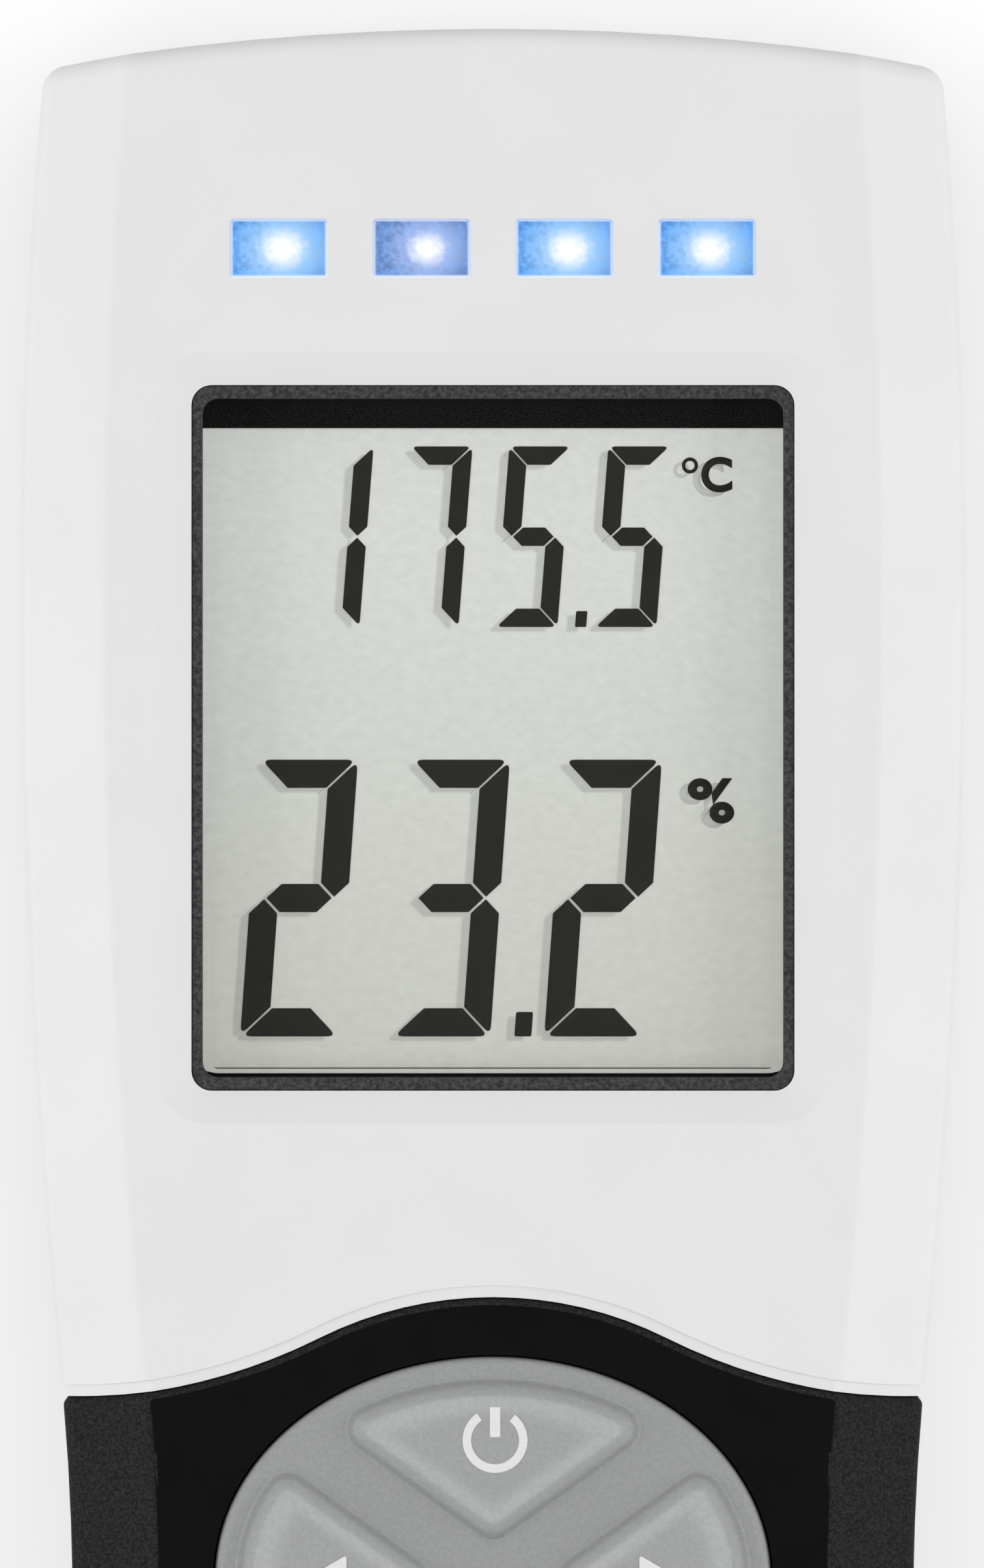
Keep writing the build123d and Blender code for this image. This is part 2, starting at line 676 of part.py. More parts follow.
def keypad_face(margin):
    """The keypad oval, grown by a margin."""
    return Pos(0, station(KEYPAD_STATION)) * Ellipse(KEYPAD_HALF_WIDTH + margin, KEYPAD_HALF_HEIGHT + margin)


def saddle():
    """The rib behind the flange of the probe root, notched for the cable."""
    end = ROOT_FLANGE_START - FIT
    rib = block(2 * SADDLE_HALF_WIDTH, end - SADDLE_THICKNESS, end, 0, THICKNESS)
    return rib - rod(SADDLE_NOTCH_RADIUS, end - 2 * SADDLE_THICKNESS, end + SADDLE_THICKNESS)


def root_hole():
    """The hole in the nose wall that the probe root passes through."""
    return rod(ROOT_SHANK_RADIUS + FIT, BODY_LENGTH - 2 * WALL, BODY_LENGTH + WALL)


def on_front_wave(edge):
    """Whether an edge of the grip cover is one of the wavy joint's arcs on the flat front."""
    middle = edge @ 0.5
    crest_y = station(WAVE_CREST_STATION)
    in_drop = crest_y - WAVE_DROP - WALL < middle.Y < crest_y + WALL
    on_front = edge.bounding_box().min.Z > THICKNESS - SEAM
    return on_front and in_drop and abs(middle.X) < WAVE_HALF_SPAN - WALL


def grip_cover(outer, inner, trim):
    """The dark front of the grip, with the keypad opening and its rim."""
    above = half_space(SPLIT_Z, THICKNESS + WALL)
    cover = front_wall(outer, inner) & prism(wave_region(-SEAM), SPLIT_Z, THICKNESS)
    wave_edges = [edge for edge in cover.edges() if on_front_wave(edge)]
    cover = fillet(wave_edges, GRIP_EDGE_ROUNDING)
    lap = wave_region(0) - wave_region(-LAP_LENGTH - FIT)
    cover -= housing_form(WALL / 2) & prism(lap, SPLIT_Z, THICKNESS)
    rim = keypad_face(FIT + KEYPAD_RIM_WALL) - keypad_face(FIT)
    cover += prism(rim, FLANGE_TOP, INNER_TOP)
    cover += saddle() & trim & above
    cover += case_posts(case_screw_places()[1:], trim)
    cover += board_posts(BOARD_SCREW_PLACES[2:], trim)
    cover -= case_pilots(case_screw_places()[1:])
    cover -= board_pilots(BOARD_SCREW_PLACES[2:])
    cover -= prism(keypad_face(FIT), INNER_TOP - WALL, THICKNESS)
    return cover - root_hole()


def battery_bay():
    """Walls and ceiling of the battery bay, before its hollow is cut."""
    walls = block(2 * (BAY_HALF_WIDTH + BAY_WALL), BAY_START - BAY_END_WALL, BAY_END + BAY_END_WALL,
                  0, BAY_TOP + BAY_CEILING)
    nose_floor = block(2 * (BAY_HALF_WIDTH + BAY_WALL), BAY_END, BODY_LENGTH,
                       0, COVER_BLOCK_HEIGHT + SLIDE + NOSE_FLOOR)
    return walls + nose_floor


def bay_cuts():
    """The hollow of the bay, the way of the sliding cover and the slots for contact tabs."""
    width = 2 * (COVER_HALF_WIDTH + SLIDE)
    hollow = block(2 * BAY_HALF_WIDTH, BAY_START, BAY_END, 0, BAY_TOP)
    way = block(width, COVER_START, BODY_LENGTH + WALL, -WALL, COVER_THICKNESS + SLIDE)
    nose_top = COVER_BLOCK_HEIGHT + SLIDE
    nose_way = block(width, COVER_BLOCK_START - 2 * SLIDE, BODY_LENGTH + WALL, -WALL, nose_top)
    runner_top = COVER_THICKNESS
    runner_bottom = COVER_THICKNESS - COVER_RUNNER_HEIGHT
    grooves = block(width + 2 * COVER_RUNNER_WIDTH, COVER_RUNNER_START - SLIDE, BODY_LENGTH + WALL,
                    runner_bottom - SLIDE, runner_top + SLIDE)
    slots = Part()
    for side in (1, -1):
        slots += block(CONTACT_TAB_WIDTH + 2 * FIT, BAY_START, BAY_START + CONTACT_THICKNESS + FIT,
                       BAY_TOP - FIT, BAY_TOP + BAY_CEILING + FIT, side * CELL_OFFSET)
    return hollow + way + nose_way + grooves + slots


def rear_shell(outer, inner, trim):
    """The dark back of the housing, with screw pillars, battery bay and probe saddle."""
    below = half_space(-WALL, SPLIT_Z)
    shell = (outer - inner) & below
    shell += joint_ring(GROOVE_INSET + FIT, GROOVE_WIDTH - 2 * FIT, SPLIT_Z - WALL, SPLIT_Z + TONGUE_HEIGHT)
    shell += battery_bay() & trim
    shell += saddle() & trim & below
    for x, distance in both_sides(case_screw_places()):
        shell += post(x, distance, CASE_PILLAR_RADIUS, 0, CASE_JOINT_Z) & trim
    for x, distance in both_sides(case_screw_places()):
        shell -= post(x, distance, CASE_BORE_RADIUS, -WALL, CASE_SEAT_Z)
        shell -= post(x, distance, CASE_SCREW_RADIUS + SCREW_CLEARANCE, 0, CASE_JOINT_Z)
    return shell - bay_cuts() - root_hole()


def housing_seal():
    """The rubber cord between tongue and groove."""
    bottom = SPLIT_Z + TONGUE_HEIGHT + SEAM
    return joint_ring(GROOVE_INSET + SEAM, GROOVE_WIDTH - 2 * SEAM, bottom, bottom + SEAL_HEIGHT)


# Display

def window_gasket():
    """The rubber gasket round the display window."""
    margin = 2 * GASKET_FLANGE_MARGIN
    gap = 2 * SEAM
    sleeve = rounded_face(WINDOW_WIDTH - gap, WINDOW_HEIGHT - gap, WINDOW_CORNER - SEAM, WINDOW_STATION)
    flange = rounded_face(WINDOW_WIDTH + margin, WINDOW_HEIGHT + margin, WINDOW_CORNER, WINDOW_STATION)
    inner = rounded_face(LENS_WIDTH + gap, LENS_HEIGHT + gap, LENS_CORNER + SEAM, WINDOW_STATION)
    gasket = prism(sleeve, INNER_TOP, GASKET_TOP) + prism(flange, GASKET_FLANGE_BOTTOM, INNER_TOP)
    return gasket - prism(inner, GASKET_FLANGE_BOTTOM, GASKET_TOP)


def display_window():
    """The clear window: a bevelled plateau on a wider flange."""
    margin = 2 * LENS_FLANGE_MARGIN
    face = rounded_face(LENS_WIDTH, LENS_HEIGHT, LENS_CORNER, WINDOW_STATION)
    plateau = prism(face, GASKET_FLANGE_BOTTOM, LENS_TOP)
    plateau = chamfer(plateau.faces().sort_by(Axis.Z)[-1].edges(), LENS_BEVEL)
    flange = rounded_face(LENS_WIDTH + margin, LENS_HEIGHT + margin, LENS_CORNER, WINDOW_STATION)
    return plateau + prism(flange, FRAME_TOP, GASKET_FLANGE_BOTTOM)


def lcd_panel():
    """The liquid crystal display, with the ledge for its contacts."""
    lower = block(LCD_WIDTH, WINDOW_STATION - LCD_HEIGHT / 2, WINDOW_STATION + LCD_HEIGHT / 2,
                  LCD_BOTTOM, LCD_BOTTOM + LCD_GLASS)
    upper = block(LCD_WIDTH, WINDOW_STATION - LCD_HEIGHT / 2, WINDOW_STATION + LCD_HEIGHT / 2 - LCD_LEDGE,
                  LCD_BOTTOM + LCD_GLASS, LCD_TOP)
    return lower + upper


def lcd_frame():
    """The frame that holds the display on the board and masks its edges."""
    width = LCD_WIDTH + 2 * FIT
    height = LCD_HEIGHT + 2 * FIT
    outer = rounded_face(width + 2 * FRAME_WALL, height + 2 * FRAME_WALL, FRAME_WALL, WINDOW_STATION)
    cavity = rounded_face(width, height, FIT, WINDOW_STATION)
    middle = WINDOW_STATION + BEZEL_SHIFT
    opening = rounded_face(BEZEL_OPENING_WIDTH, BEZEL_OPENING_HEIGHT, LENS_CORNER, middle)
    frame = prism(outer, BOARD_TOP, FRAME_TOP) - prism(cavity, BOARD_TOP, LCD_TOP)
    return frame - prism(opening, BOARD_TOP, FRAME_TOP)


def zebra_strips():
    """The two rubber strips that connect the display to the board."""
    reach = LCD_HEIGHT / 2 - STRIP_EDGE
    strips = []
    for side in (1, -1):
        near = WINDOW_STATION + side * (reach - STRIP_WIDTH)
        far = WINDOW_STATION + side * reach
        strips.append(block(STRIP_LENGTH, min(near, far), max(near, far), BOARD_TOP, LCD_BOTTOM))
    return Compound(children=strips)


def light_guide(x):
    """One clear light guide: window head, flange and stem."""
    gap = 2 * SEAM
    head = rounded_face(STATUS_WIDTH - gap, STATUS_HEIGHT - gap, STATUS_CORNER - SEAM, STATUS_STATION, x)
    flange = rounded_face(STATUS_WIDTH + 2 * STATUS_FLANGE, STATUS_HEIGHT + 2 * STATUS_FLANGE,
                          STATUS_CORNER, STATUS_STATION, x)
    stem = rounded_face(STEM_WIDTH, STEM_DEPTH, STATUS_CORNER, STATUS_STATION, x)
    flange_bottom = INNER_TOP - STATUS_FLANGE_HEIGHT
    guide = prism(head, INNER_TOP, THICKNESS - STATUS_RECESS)
    guide += prism(flange, flange_bottom, INNER_TOP)
    return guide + prism(stem, BOARD_TOP + LED_HEIGHT + LED_GAP, flange_bottom)


def indicator_leds():
    """The lamps below the light guides."""
    half = LED_DEPTH / 2
    return Compound(children=[
        block(LED_WIDTH, STATUS_STATION - half, STATUS_STATION + half, BOARD_TOP, BOARD_TOP + LED_HEIGHT, x)
        for x in status_centres()
    ])


# Circuit board and what it carries

def main_board():
    """The circuit board, narrowed at both ends to pass the case posts."""
    head = block(2 * BOARD_HEAD_HALF_WIDTH, BOARD_HEAD_START, BOARD_HEAD_END, BOARD_BOTTOM, BOARD_TOP)
    main = block(2 * BOARD_MAIN_HALF_WIDTH, BOARD_HEAD_END, BOARD_MAIN_END, BOARD_BOTTOM, BOARD_TOP)
    tail = block(2 * BOARD_TAIL_HALF_WIDTH, BOARD_MAIN_END, BOARD_TAIL_END, BOARD_BOTTOM, BOARD_TOP)
    board = head + main + tail
    board = fillet(board.edges().filter_by(Axis.Z), BOARD_CORNER)
    for x, distance in both_sides(BOARD_SCREW_PLACES):
        board -= post(x, distance, BOARD_SCREW_RADIUS + SCREW_CLEARANCE, BOARD_BOTTOM, BOARD_TOP)
    for side in (1, -1):
        board -= block(CONTACT_TAB_WIDTH + 2 * FIT, BAY_START - FIT, BAY_START + CONTACT_THICKNESS + FIT,
                       BOARD_BOTTOM, BOARD_TOP, side * CELL_OFFSET)
    return board


def controller_chip():
    """The controller below the board, with leads on four sides."""
    half = CHIP_SIZE / 2
    chip = block(CHIP_SIZE, CHIP_STATION - half, CHIP_STATION + half,
                 BOARD_BOTTOM - CHIP_HEIGHT, BOARD_BOTTOM - CHIP_LEAD_THICKNESS / 2)
    row = (CHIP_LEADS - 1) * CHIP_LEAD_PITCH / 2
    across = CHIP_SIZE + 2 * CHIP_LEAD_LENGTH
    leads_z = (BOARD_BOTTOM - CHIP_LEAD_THICKNESS, BOARD_BOTTOM)
    width = CHIP_LEAD_WIDTH / 2
    for index in range(CHIP_LEADS):
        place = index * CHIP_LEAD_PITCH - row
        chip += block(across, CHIP_STATION + place - width, CHIP_STATION + place + width, *leads_z)
        chip += block(CHIP_LEAD_WIDTH, CHIP_STATION - across / 2, CHIP_STATION + across / 2, *leads_z, place)
    return chip


def board_connector():
    """The socket that takes the sensor cable."""
    start = BOARD_TAIL_END - CONNECTOR_LENGTH
    body = block(CONNECTOR_WIDTH, start, BOARD_TAIL_END, BOARD_TOP, BOARD_TOP + CONNECTOR_HEIGHT)
    return chamfer(body.faces().sort_by(Axis.Z)[-1].edges().filter_by(Axis.Y), SCREW_CLEARANCE * 4)


# Keypad

def key_faces(growth):
    """The four key outlines as top, right, bottom and left, grown by a clearance."""
    oval = keypad_face(growth - KEY_MARGIN)
    centre = Pos(0, station(KEYPAD_STATION))
    for angle in (KEY_BAND_ANGLE, -KEY_BAND_ANGLE):
        oval = oval - centre * Rot(0, 0, angle) * Rectangle(4 * KEYPAD_HALF_WIDTH, KEY_BAND - 2 * growth)
    faces = [make_face(face.edges()) for face in oval.faces()]
    faces = [fillet(face.vertices(), KEY_CORNER + growth) for face in faces]
    top = max(faces, key=lambda face: face.center().Y)
    bottom = min(faces, key=lambda face: face.center().Y)
    right = max(faces, key=lambda face: face.center().X)
    left = min(faces, key=lambda face: face.center().X)
    return {"power": top, "right": right, "lower": bottom, "left": left}


def key_centres():
    """Where each key's stem stands, as (x, station)."""
    return {
        "power": (0, KEYPAD_STATION - END_KEY_OFFSET),
        "right": (SIDE_KEY_OFFSET, KEYPAD_STATION),
        "lower": (0, KEYPAD_STATION + END_KEY_OFFSET),
        "left": (-SIDE_KEY_OFFSET, KEYPAD_STATION),
    }


def keypad_mat():
    """The rubber pad round the keys: a flange on the board and a body through the grip cover."""
    mat = prism(keypad_face(0), BOARD_TOP, KEYPAD_TOP)
    mat = fillet(mat.faces().sort_by(Axis.Z)[-1].edges(), KEYPAD_EDGE_ROUNDING)
    mat += prism(keypad_face(KEYPAD_FLANGE_MARGIN), BOARD_TOP, FLANGE_TOP)
    for face in key_faces(FIT).values():
        mat -= prism(face, BOARD_TOP, KEYPAD_TOP)
    return mat


def key_cap(name):
    """One key with its rounded top and its stem."""
    cap = prism(key_faces(0)[name], KEY_BOTTOM, KEY_TOP)
    cap = fillet(cap.faces().sort_by(Axis.Z)[-1].edges(), KEY_TOP_ROUNDING)
    x, distance = key_centres()[name]
    return cap + post(x, distance, STEM_RADIUS, PILL_BOTTOM + PILL_HEIGHT, KEY_BOTTOM)


def contact_pill(name):
    """The carbon pill below a key."""
    x, distance = key_centres()[name]
    return post(x, distance, PILL_RADIUS, PILL_BOTTOM, PILL_BOTTOM + PILL_HEIGHT)


def key_contacts():
    """Split contact pads on the board, one pair below each key."""
    pads = []
    for x, distance in key_centres().values():
        disc = post(x, distance, PAD_RADIUS, BOARD_TOP, BOARD_TOP + PAD_THICKNESS)
        slit = block(PAD_SLIT, distance - 2 * PAD_RADIUS, distance + 2 * PAD_RADIUS,
                     BOARD_TOP, BOARD_TOP + PAD_THICKNESS, x)
        pads.extend((disc - slit).solids())
    return Compound(children=pads)


# Batteries

def battery_cell(x, nub_station, direction):
    """One cell whose nub ends at a station and points towards the head (1) or the nose (-1)."""
    shoulder = nub_station + direction * CELL_NUB_HEIGHT
    end = nub_station + direction * CELL_LENGTH
    middle = (shoulder + end) / 2
    can = Cylinder(CELL_RADIUS, CELL_LENGTH - CELL_NUB_HEIGHT)
    can = fillet(can.edges().filter_by(GeomType.CIRCLE), CELL_EDGE)
    nub = Cylinder(CELL_NUB_RADIUS, 2 * CELL_NUB_HEIGHT)
    turn = Rot(90, 0, 0)
    return Pos(x, station(middle), CELL_Z) * turn * can + Pos(x, station(shoulder), CELL_Z) * turn * nub


def cell_nubs():
    """Station of each cell's nub: the left cell faces the head, the right one the nose."""
    head_nub = BAY_START + CONTACT_THICKNESS + CONTACT_GAP
    nose_nub = BAY_END - CONTACT_THICKNESS - CONTACT_GAP
    return head_nub, nose_nub


def contact_plate(side):
    """A plate contact at the head end, with its tab up to the board."""
    end = BAY_START + CONTACT_THICKNESS
    x = side * CELL_OFFSET
    plate = block(CONTACT_WIDTH, BAY_START, end, CONTACT_BOTTOM, CONTACT_BOTTOM + CONTACT_HEIGHT, x)
    plate = fillet(plate.edges().filter_by(Axis.Y), CELL_EDGE)
    return plate + block(CONTACT_TAB_WIDTH, BAY_START, end, CELL_Z, BOARD_TOP, x)


def bridge_contact():
    """The plate that joins the two cells at the nose end."""
    width = 2 * CELL_OFFSET + CONTACT_WIDTH
    top = CONTACT_BOTTOM + CONTACT_HEIGHT
    plate = block(width, BAY_END - CONTACT_THICKNESS, BAY_END, CONTACT_BOTTOM, top)
    return fillet(plate.edges().filter_by(Axis.Y), CELL_EDGE)


def battery_springs():
    """The two conical springs against the flat ends of the cells."""
    rise = SPRING_LENGTH - 2 * SPRING_WIRE - SEAM
    coil_path = Helix(rise / SPRING_TURNS, rise, SPRING_RADIUS, cone_angle=-SPRING_CONE)
    section = Plane(origin=coil_path @ 0, z_dir=coil_path % 0) * Circle(SPRING_WIRE)
    coil = Pos(0, 0, SPRING_WIRE) * sweep(section, path=coil_path)
    head_seat = BAY_START + CONTACT_THICKNESS
    nose_seat = BAY_END - CONTACT_THICKNESS
    return Compound(children=[
        Pos(CELL_OFFSET, station(head_seat), CELL_Z) * Rot(90, 0, 0) * coil,
        Pos(-CELL_OFFSET, station(nose_seat), CELL_Z) * Rot(-90, 0, 0) * coil,
    ])


def battery_cover(outer):
    """The sliding cover with runners and a ribbed thumb recess."""
    width = 2 * COVER_HALF_WIDTH
    plate = block(width, COVER_START + SLIDE, BODY_LENGTH, COVER_SET_BACK, COVER_THICKNESS)
    plate += block(width, COVER_BLOCK_START, BODY_LENGTH, COVER_SET_BACK, COVER_BLOCK_HEIGHT)
    plate += block(width + 2 * COVER_RUNNER_WIDTH, COVER_RUNNER_START, COVER_RUNNER_END,
                   COVER_THICKNESS - COVER_RUNNER_HEIGHT, COVER_THICKNESS)
    cover = plate & outer
    bar_z = GRIP_RECESS_DEPTH - GRIP_RECESS_RADIUS
    recess = Pos(0, station(GRIP_RECESS_STATION), bar_z) * Rot(0, 90, 0)
    cover -= recess * Cylinder(GRIP_RECESS_RADIUS, GRIP_RECESS_WIDTH)
    first = GRIP_RECESS_STATION - (GRIP_RIB_COUNT - 1) * GRIP_RIB_PITCH / 2
    for index in range(GRIP_RIB_COUNT):
        middle = first + index * GRIP_RIB_PITCH
        half = GRIP_RIB_WIDTH / 2
        cover += block(GRIP_RECESS_WIDTH, middle - half, middle + half,
                       GRIP_RECESS_DEPTH - GRIP_RIB_HEIGHT, COVER_THICKNESS)
    return cover


# Fasteners

def screw(radius, length, head_radius, head_height):
    """A screw standing on its seat at the origin, with a cross recess in its head."""
    shank = Pos(0, 0, length / 2) * Cylinder(radius, length)
    tip = shank.faces().sort_by(Axis.Z)[-1].edges()
    shank = chamfer(tip, radius / 2)
    head = Pos(0, 0, -head_height / 2) * Cylinder(head_radius, head_height)
    head = fillet(head.faces().sort_by(Axis.Z)[0].edges(), head_height / 3)
    recess_z = RECESS_DEPTH / 2 - head_height
    cross = Pos(0, 0, recess_z) * Box(RECESS_LENGTH, RECESS_WIDTH, RECESS_DEPTH)
    cross += Pos(0, 0, recess_z) * Box(RECESS_WIDTH, RECESS_LENGTH, RECESS_DEPTH)
    return shank + head - cross


def case_screws():
    """The six screws that hold the halves together."""
    one = screw(CASE_SCREW_RADIUS, CASE_SCREW_LENGTH, CASE_HEAD_RADIUS, CASE_HEAD_HEIGHT)
    places = both_sides(case_screw_places())
    return Compound(children=[Pos(x, station(distance), CASE_SEAT_Z) * one for x, distance in places])


def board_screws():
    """The six screws that hold the board."""
    one = screw(BOARD_SCREW_RADIUS, BOARD_SCREW_LENGTH, BOARD_HEAD_RADIUS, BOARD_HEAD_HEIGHT)
    places = both_sides(BOARD_SCREW_PLACES)
    return Compound(children=[Pos(x, station(distance), BOARD_BOTTOM) * one for x, distance in places])


# Probe

def root_seal_span():
    """First and last station of the seal in the nose wall."""
    start = BODY_LENGTH - WALL + ROOT_SEAL_INSET
    return start, start + ROOT_SEAL_WIDTH


def probe_root():
    """The steel root: clamped flange, grooved shank and the spigot that carries the tube."""
    seal_start, seal_end = root_seal_span()
    groove = ROOT_SHANK_RADIUS - ROOT_SEAL_DEPTH
    flange_end = ROOT_FLANGE_START + ROOT_FLANGE_LENGTH
    return turned([
        (ROOT_BORE_RADIUS, ROOT_FLANGE_START), (ROOT_FLANGE_RADIUS, ROOT_FLANGE_START),
        (ROOT_FLANGE_RADIUS, flange_end), (ROOT_SHANK_RADIUS, flange_end),
        (ROOT_SHANK_RADIUS, seal_start), (groove, seal_start),
        (groove, seal_end), (ROOT_SHANK_RADIUS, seal_end),
        (ROOT_SHANK_RADIUS, TUBE_START), (SPIGOT_RADIUS, TUBE_START),
        (SPIGOT_RADIUS, TUBE_START + ROOT_SPIGOT_LENGTH), (ROOT_BORE_RADIUS, TUBE_START + ROOT_SPIGOT_LENGTH),
    ])


def root_seal():
    """The sealing ring in the groove of the probe root."""
    seal_start, seal_end = root_seal_span()
    inner = ROOT_SHANK_RADIUS - ROOT_SEAL_DEPTH
    outer = ROOT_SHANK_RADIUS + FIT
    ring = turned([(inner, seal_start + SEAM), (outer, seal_start + SEAM),
                   (outer, seal_end - SEAM), (inner, seal_end - SEAM)])
    return ring


def probe_collar():
    """The dark collar over the probe root, with ring grooves."""
    length = COLLAR_LENGTH
    collar = turned([
        (ROOT_SHANK_RADIUS + SEAM, BODY_LENGTH), (COLLAR_ROOT_RADIUS, BODY_LENGTH),
        (COLLAR_TIP_RADIUS, BODY_LENGTH + length), (ROOT_SHANK_RADIUS + SEAM, BODY_LENGTH + length),
    ])
    pitch = length / (COLLAR_RINGS + 1)
    slope = (COLLAR_ROOT_RADIUS - COLLAR_TIP_RADIUS) / length
    for index in range(1, COLLAR_RINGS + 1):
        middle = index * pitch
        surface = COLLAR_ROOT_RADIUS - slope * middle
        start = BODY_LENGTH + middle - COLLAR_RING_GROOVE / 2
        end = start + COLLAR_RING_GROOVE
        floor = surface - COLLAR_RING_DEPTH
        rim = COLLAR_ROOT_RADIUS + WALL
        collar -= turned([(floor, start), (rim, start), (rim, end), (floor, end)])
    return collar


def probe_tube():
    """The long steel tube."""
    return rod(TUBE_RADIUS, TUBE_START, TUBE_END) - rod(TUBE_BORE_RADIUS, TUBE_START, TUBE_END)


def sensor_guard():
    """The slotted steel guard round the sensor, closed by a rounded tip with a drain hole."""
    tip = rod(GUARD_RADIUS, TUBE_END, GUARD_END)
    tip = fillet(tip.faces().sort_by(Axis.Y)[0].edges(), GUARD_TIP_ROUNDING)
    guard = tip + rod(SPIGOT_RADIUS, PLUG_START, TUBE_END)
    guard -= rod(PLUG_RADIUS + SEAM, PLUG_START, GUARD_CAVITY_START)
    guard -= rod(GUARD_RADIUS - GUARD_WALL, GUARD_CAVITY_START, GUARD_CAVITY_END)
    guard -= rod(DRAIN_RADIUS, GUARD_CAVITY_END, GUARD_END)
    start = GUARD_CAVITY_START + GUARD_WINDOW_MARGIN
    end = GUARD_CAVITY_END - GUARD_WINDOW_MARGIN
    reach = 2 * GUARD_RADIUS
    window = block(GUARD_WINDOW_WIDTH, start, end, PROBE_Z - reach, PROBE_Z + reach)
    ends = window.edges().filter_by(Axis.Z)
    return guard - fillet(ends, GUARD_WINDOW_WIDTH / 2 - FIT)


def sensor_plug():
    """The insulating plug that holds the root of the sensor plate."""
    plug = rod(PLUG_RADIUS, PLUG_START, PLUG_END)
    slot_start = PLATE_START - PLATE_ROOT_LENGTH
    slot = block(PLATE_ROOT_WIDTH + 2 * SEAM, slot_start, PLUG_END, PLATE_BOTTOM - SEAM, PLATE_TOP + SEAM)
    return plug - slot


def sensor_plate():
    """The ceramic sensor plate with its narrow root."""
    blade = block(PLATE_WIDTH, PLATE_START, PLATE_END, PLATE_BOTTOM, PLATE_TOP)
    blade = fillet(blade.edges().filter_by(Axis.Z), PLATE_CORNER)
    root_start = PLATE_START - PLATE_ROOT_LENGTH
    root = block(PLATE_ROOT_WIDTH, root_start, PLATE_START + PLATE_CORNER, PLATE_BOTTOM, PLATE_TOP)
    return blade + root


def electrode_comb(side):
    """One comb of the pair, with its bus line on the right (1) or left (-1)."""
    top = PLATE_TOP + ELECTRODE_THICKNESS
    bus_x = side * (PLATE_WIDTH / 2 - ELECTRODE_MARGIN - ELECTRODE_LINE / 2)
    lead_x = side * ELECTRODE_LEAD_OFFSET
    start = PLATE_START + ELECTRODE_MARGIN
    row = start + ELECTRODE_PITCH + (ELECTRODE_PITCH / 2 if side > 0 else 0)
    end = row + (ELECTRODE_FINGERS - 1) * ELECTRODE_PITCH + ELECTRODE_LINE
    comb = block(ELECTRODE_LINE, start, end, PLATE_TOP, top, bus_x)
    tip_x = -side * (abs(bus_x) - ELECTRODE_LINE / 2 - ELECTRODE_TIP_GAP)
    finger_x = (bus_x + tip_x) / 2
    for index in range(ELECTRODE_FINGERS):
        place = row + index * ELECTRODE_PITCH
        comb += block(abs(bus_x - tip_x), place, place + ELECTRODE_LINE, PLATE_TOP, top, finger_x)
    link = abs(bus_x - lead_x) + ELECTRODE_LINE
    comb += block(link, start, start + ELECTRODE_LINE, PLATE_TOP, top, (bus_x + lead_x) / 2)
    return comb + block(ELECTRODE_LINE, PLUG_END + FIT, start + ELECTRODE_LINE, PLATE_TOP, top, lead_x)


def temperature_sensor():
    """The temperature bead on the back of the plate, with its two leads."""
    start = BEAD_STATION - BEAD_LENGTH / 2
    bead = block(BEAD_WIDTH, start, start + BEAD_LENGTH, PLATE_BOTTOM - BEAD_HEIGHT, PLATE_BOTTOM)
    bead = fillet(bead.faces().sort_by(Axis.Z)[0].edges(), BEAD_HEIGHT / 3)
    for side in (1, -1):
        start = PLUG_END + FIT
        middle = (start + BEAD_STATION) / 2
        lead = Cylinder(BEAD_LEAD_RADIUS, BEAD_STATION - start)
        place = Pos(side * BEAD_LEAD_OFFSET, station(middle), PLATE_BOTTOM - BEAD_LEAD_RADIUS)
        bead += place * Rot(90, 0, 0) * lead
    return bead


def cable_points():
    """Route of the sensor cable from the plug to the board connector."""
    return [
        (0, station(PLUG_START), PROBE_Z),
        (0, station(CABLE_RISE_START), PROBE_Z),
        (0, station(CABLE_RISE_END), CABLE_BOARD_Z),
        (0, station(BOARD_TAIL_END), CABLE_BOARD_Z),
    ]


def sensor_cable():
    """The cable from the sensor plug to the board."""
    path = FilletPolyline(cable_points(), radius=CABLE_BEND_RADIUS)
    section = Plane(origin=path @ 0, z_dir=path % 0) * Circle(CABLE_RADIUS)
    return sweep(section, path=path)


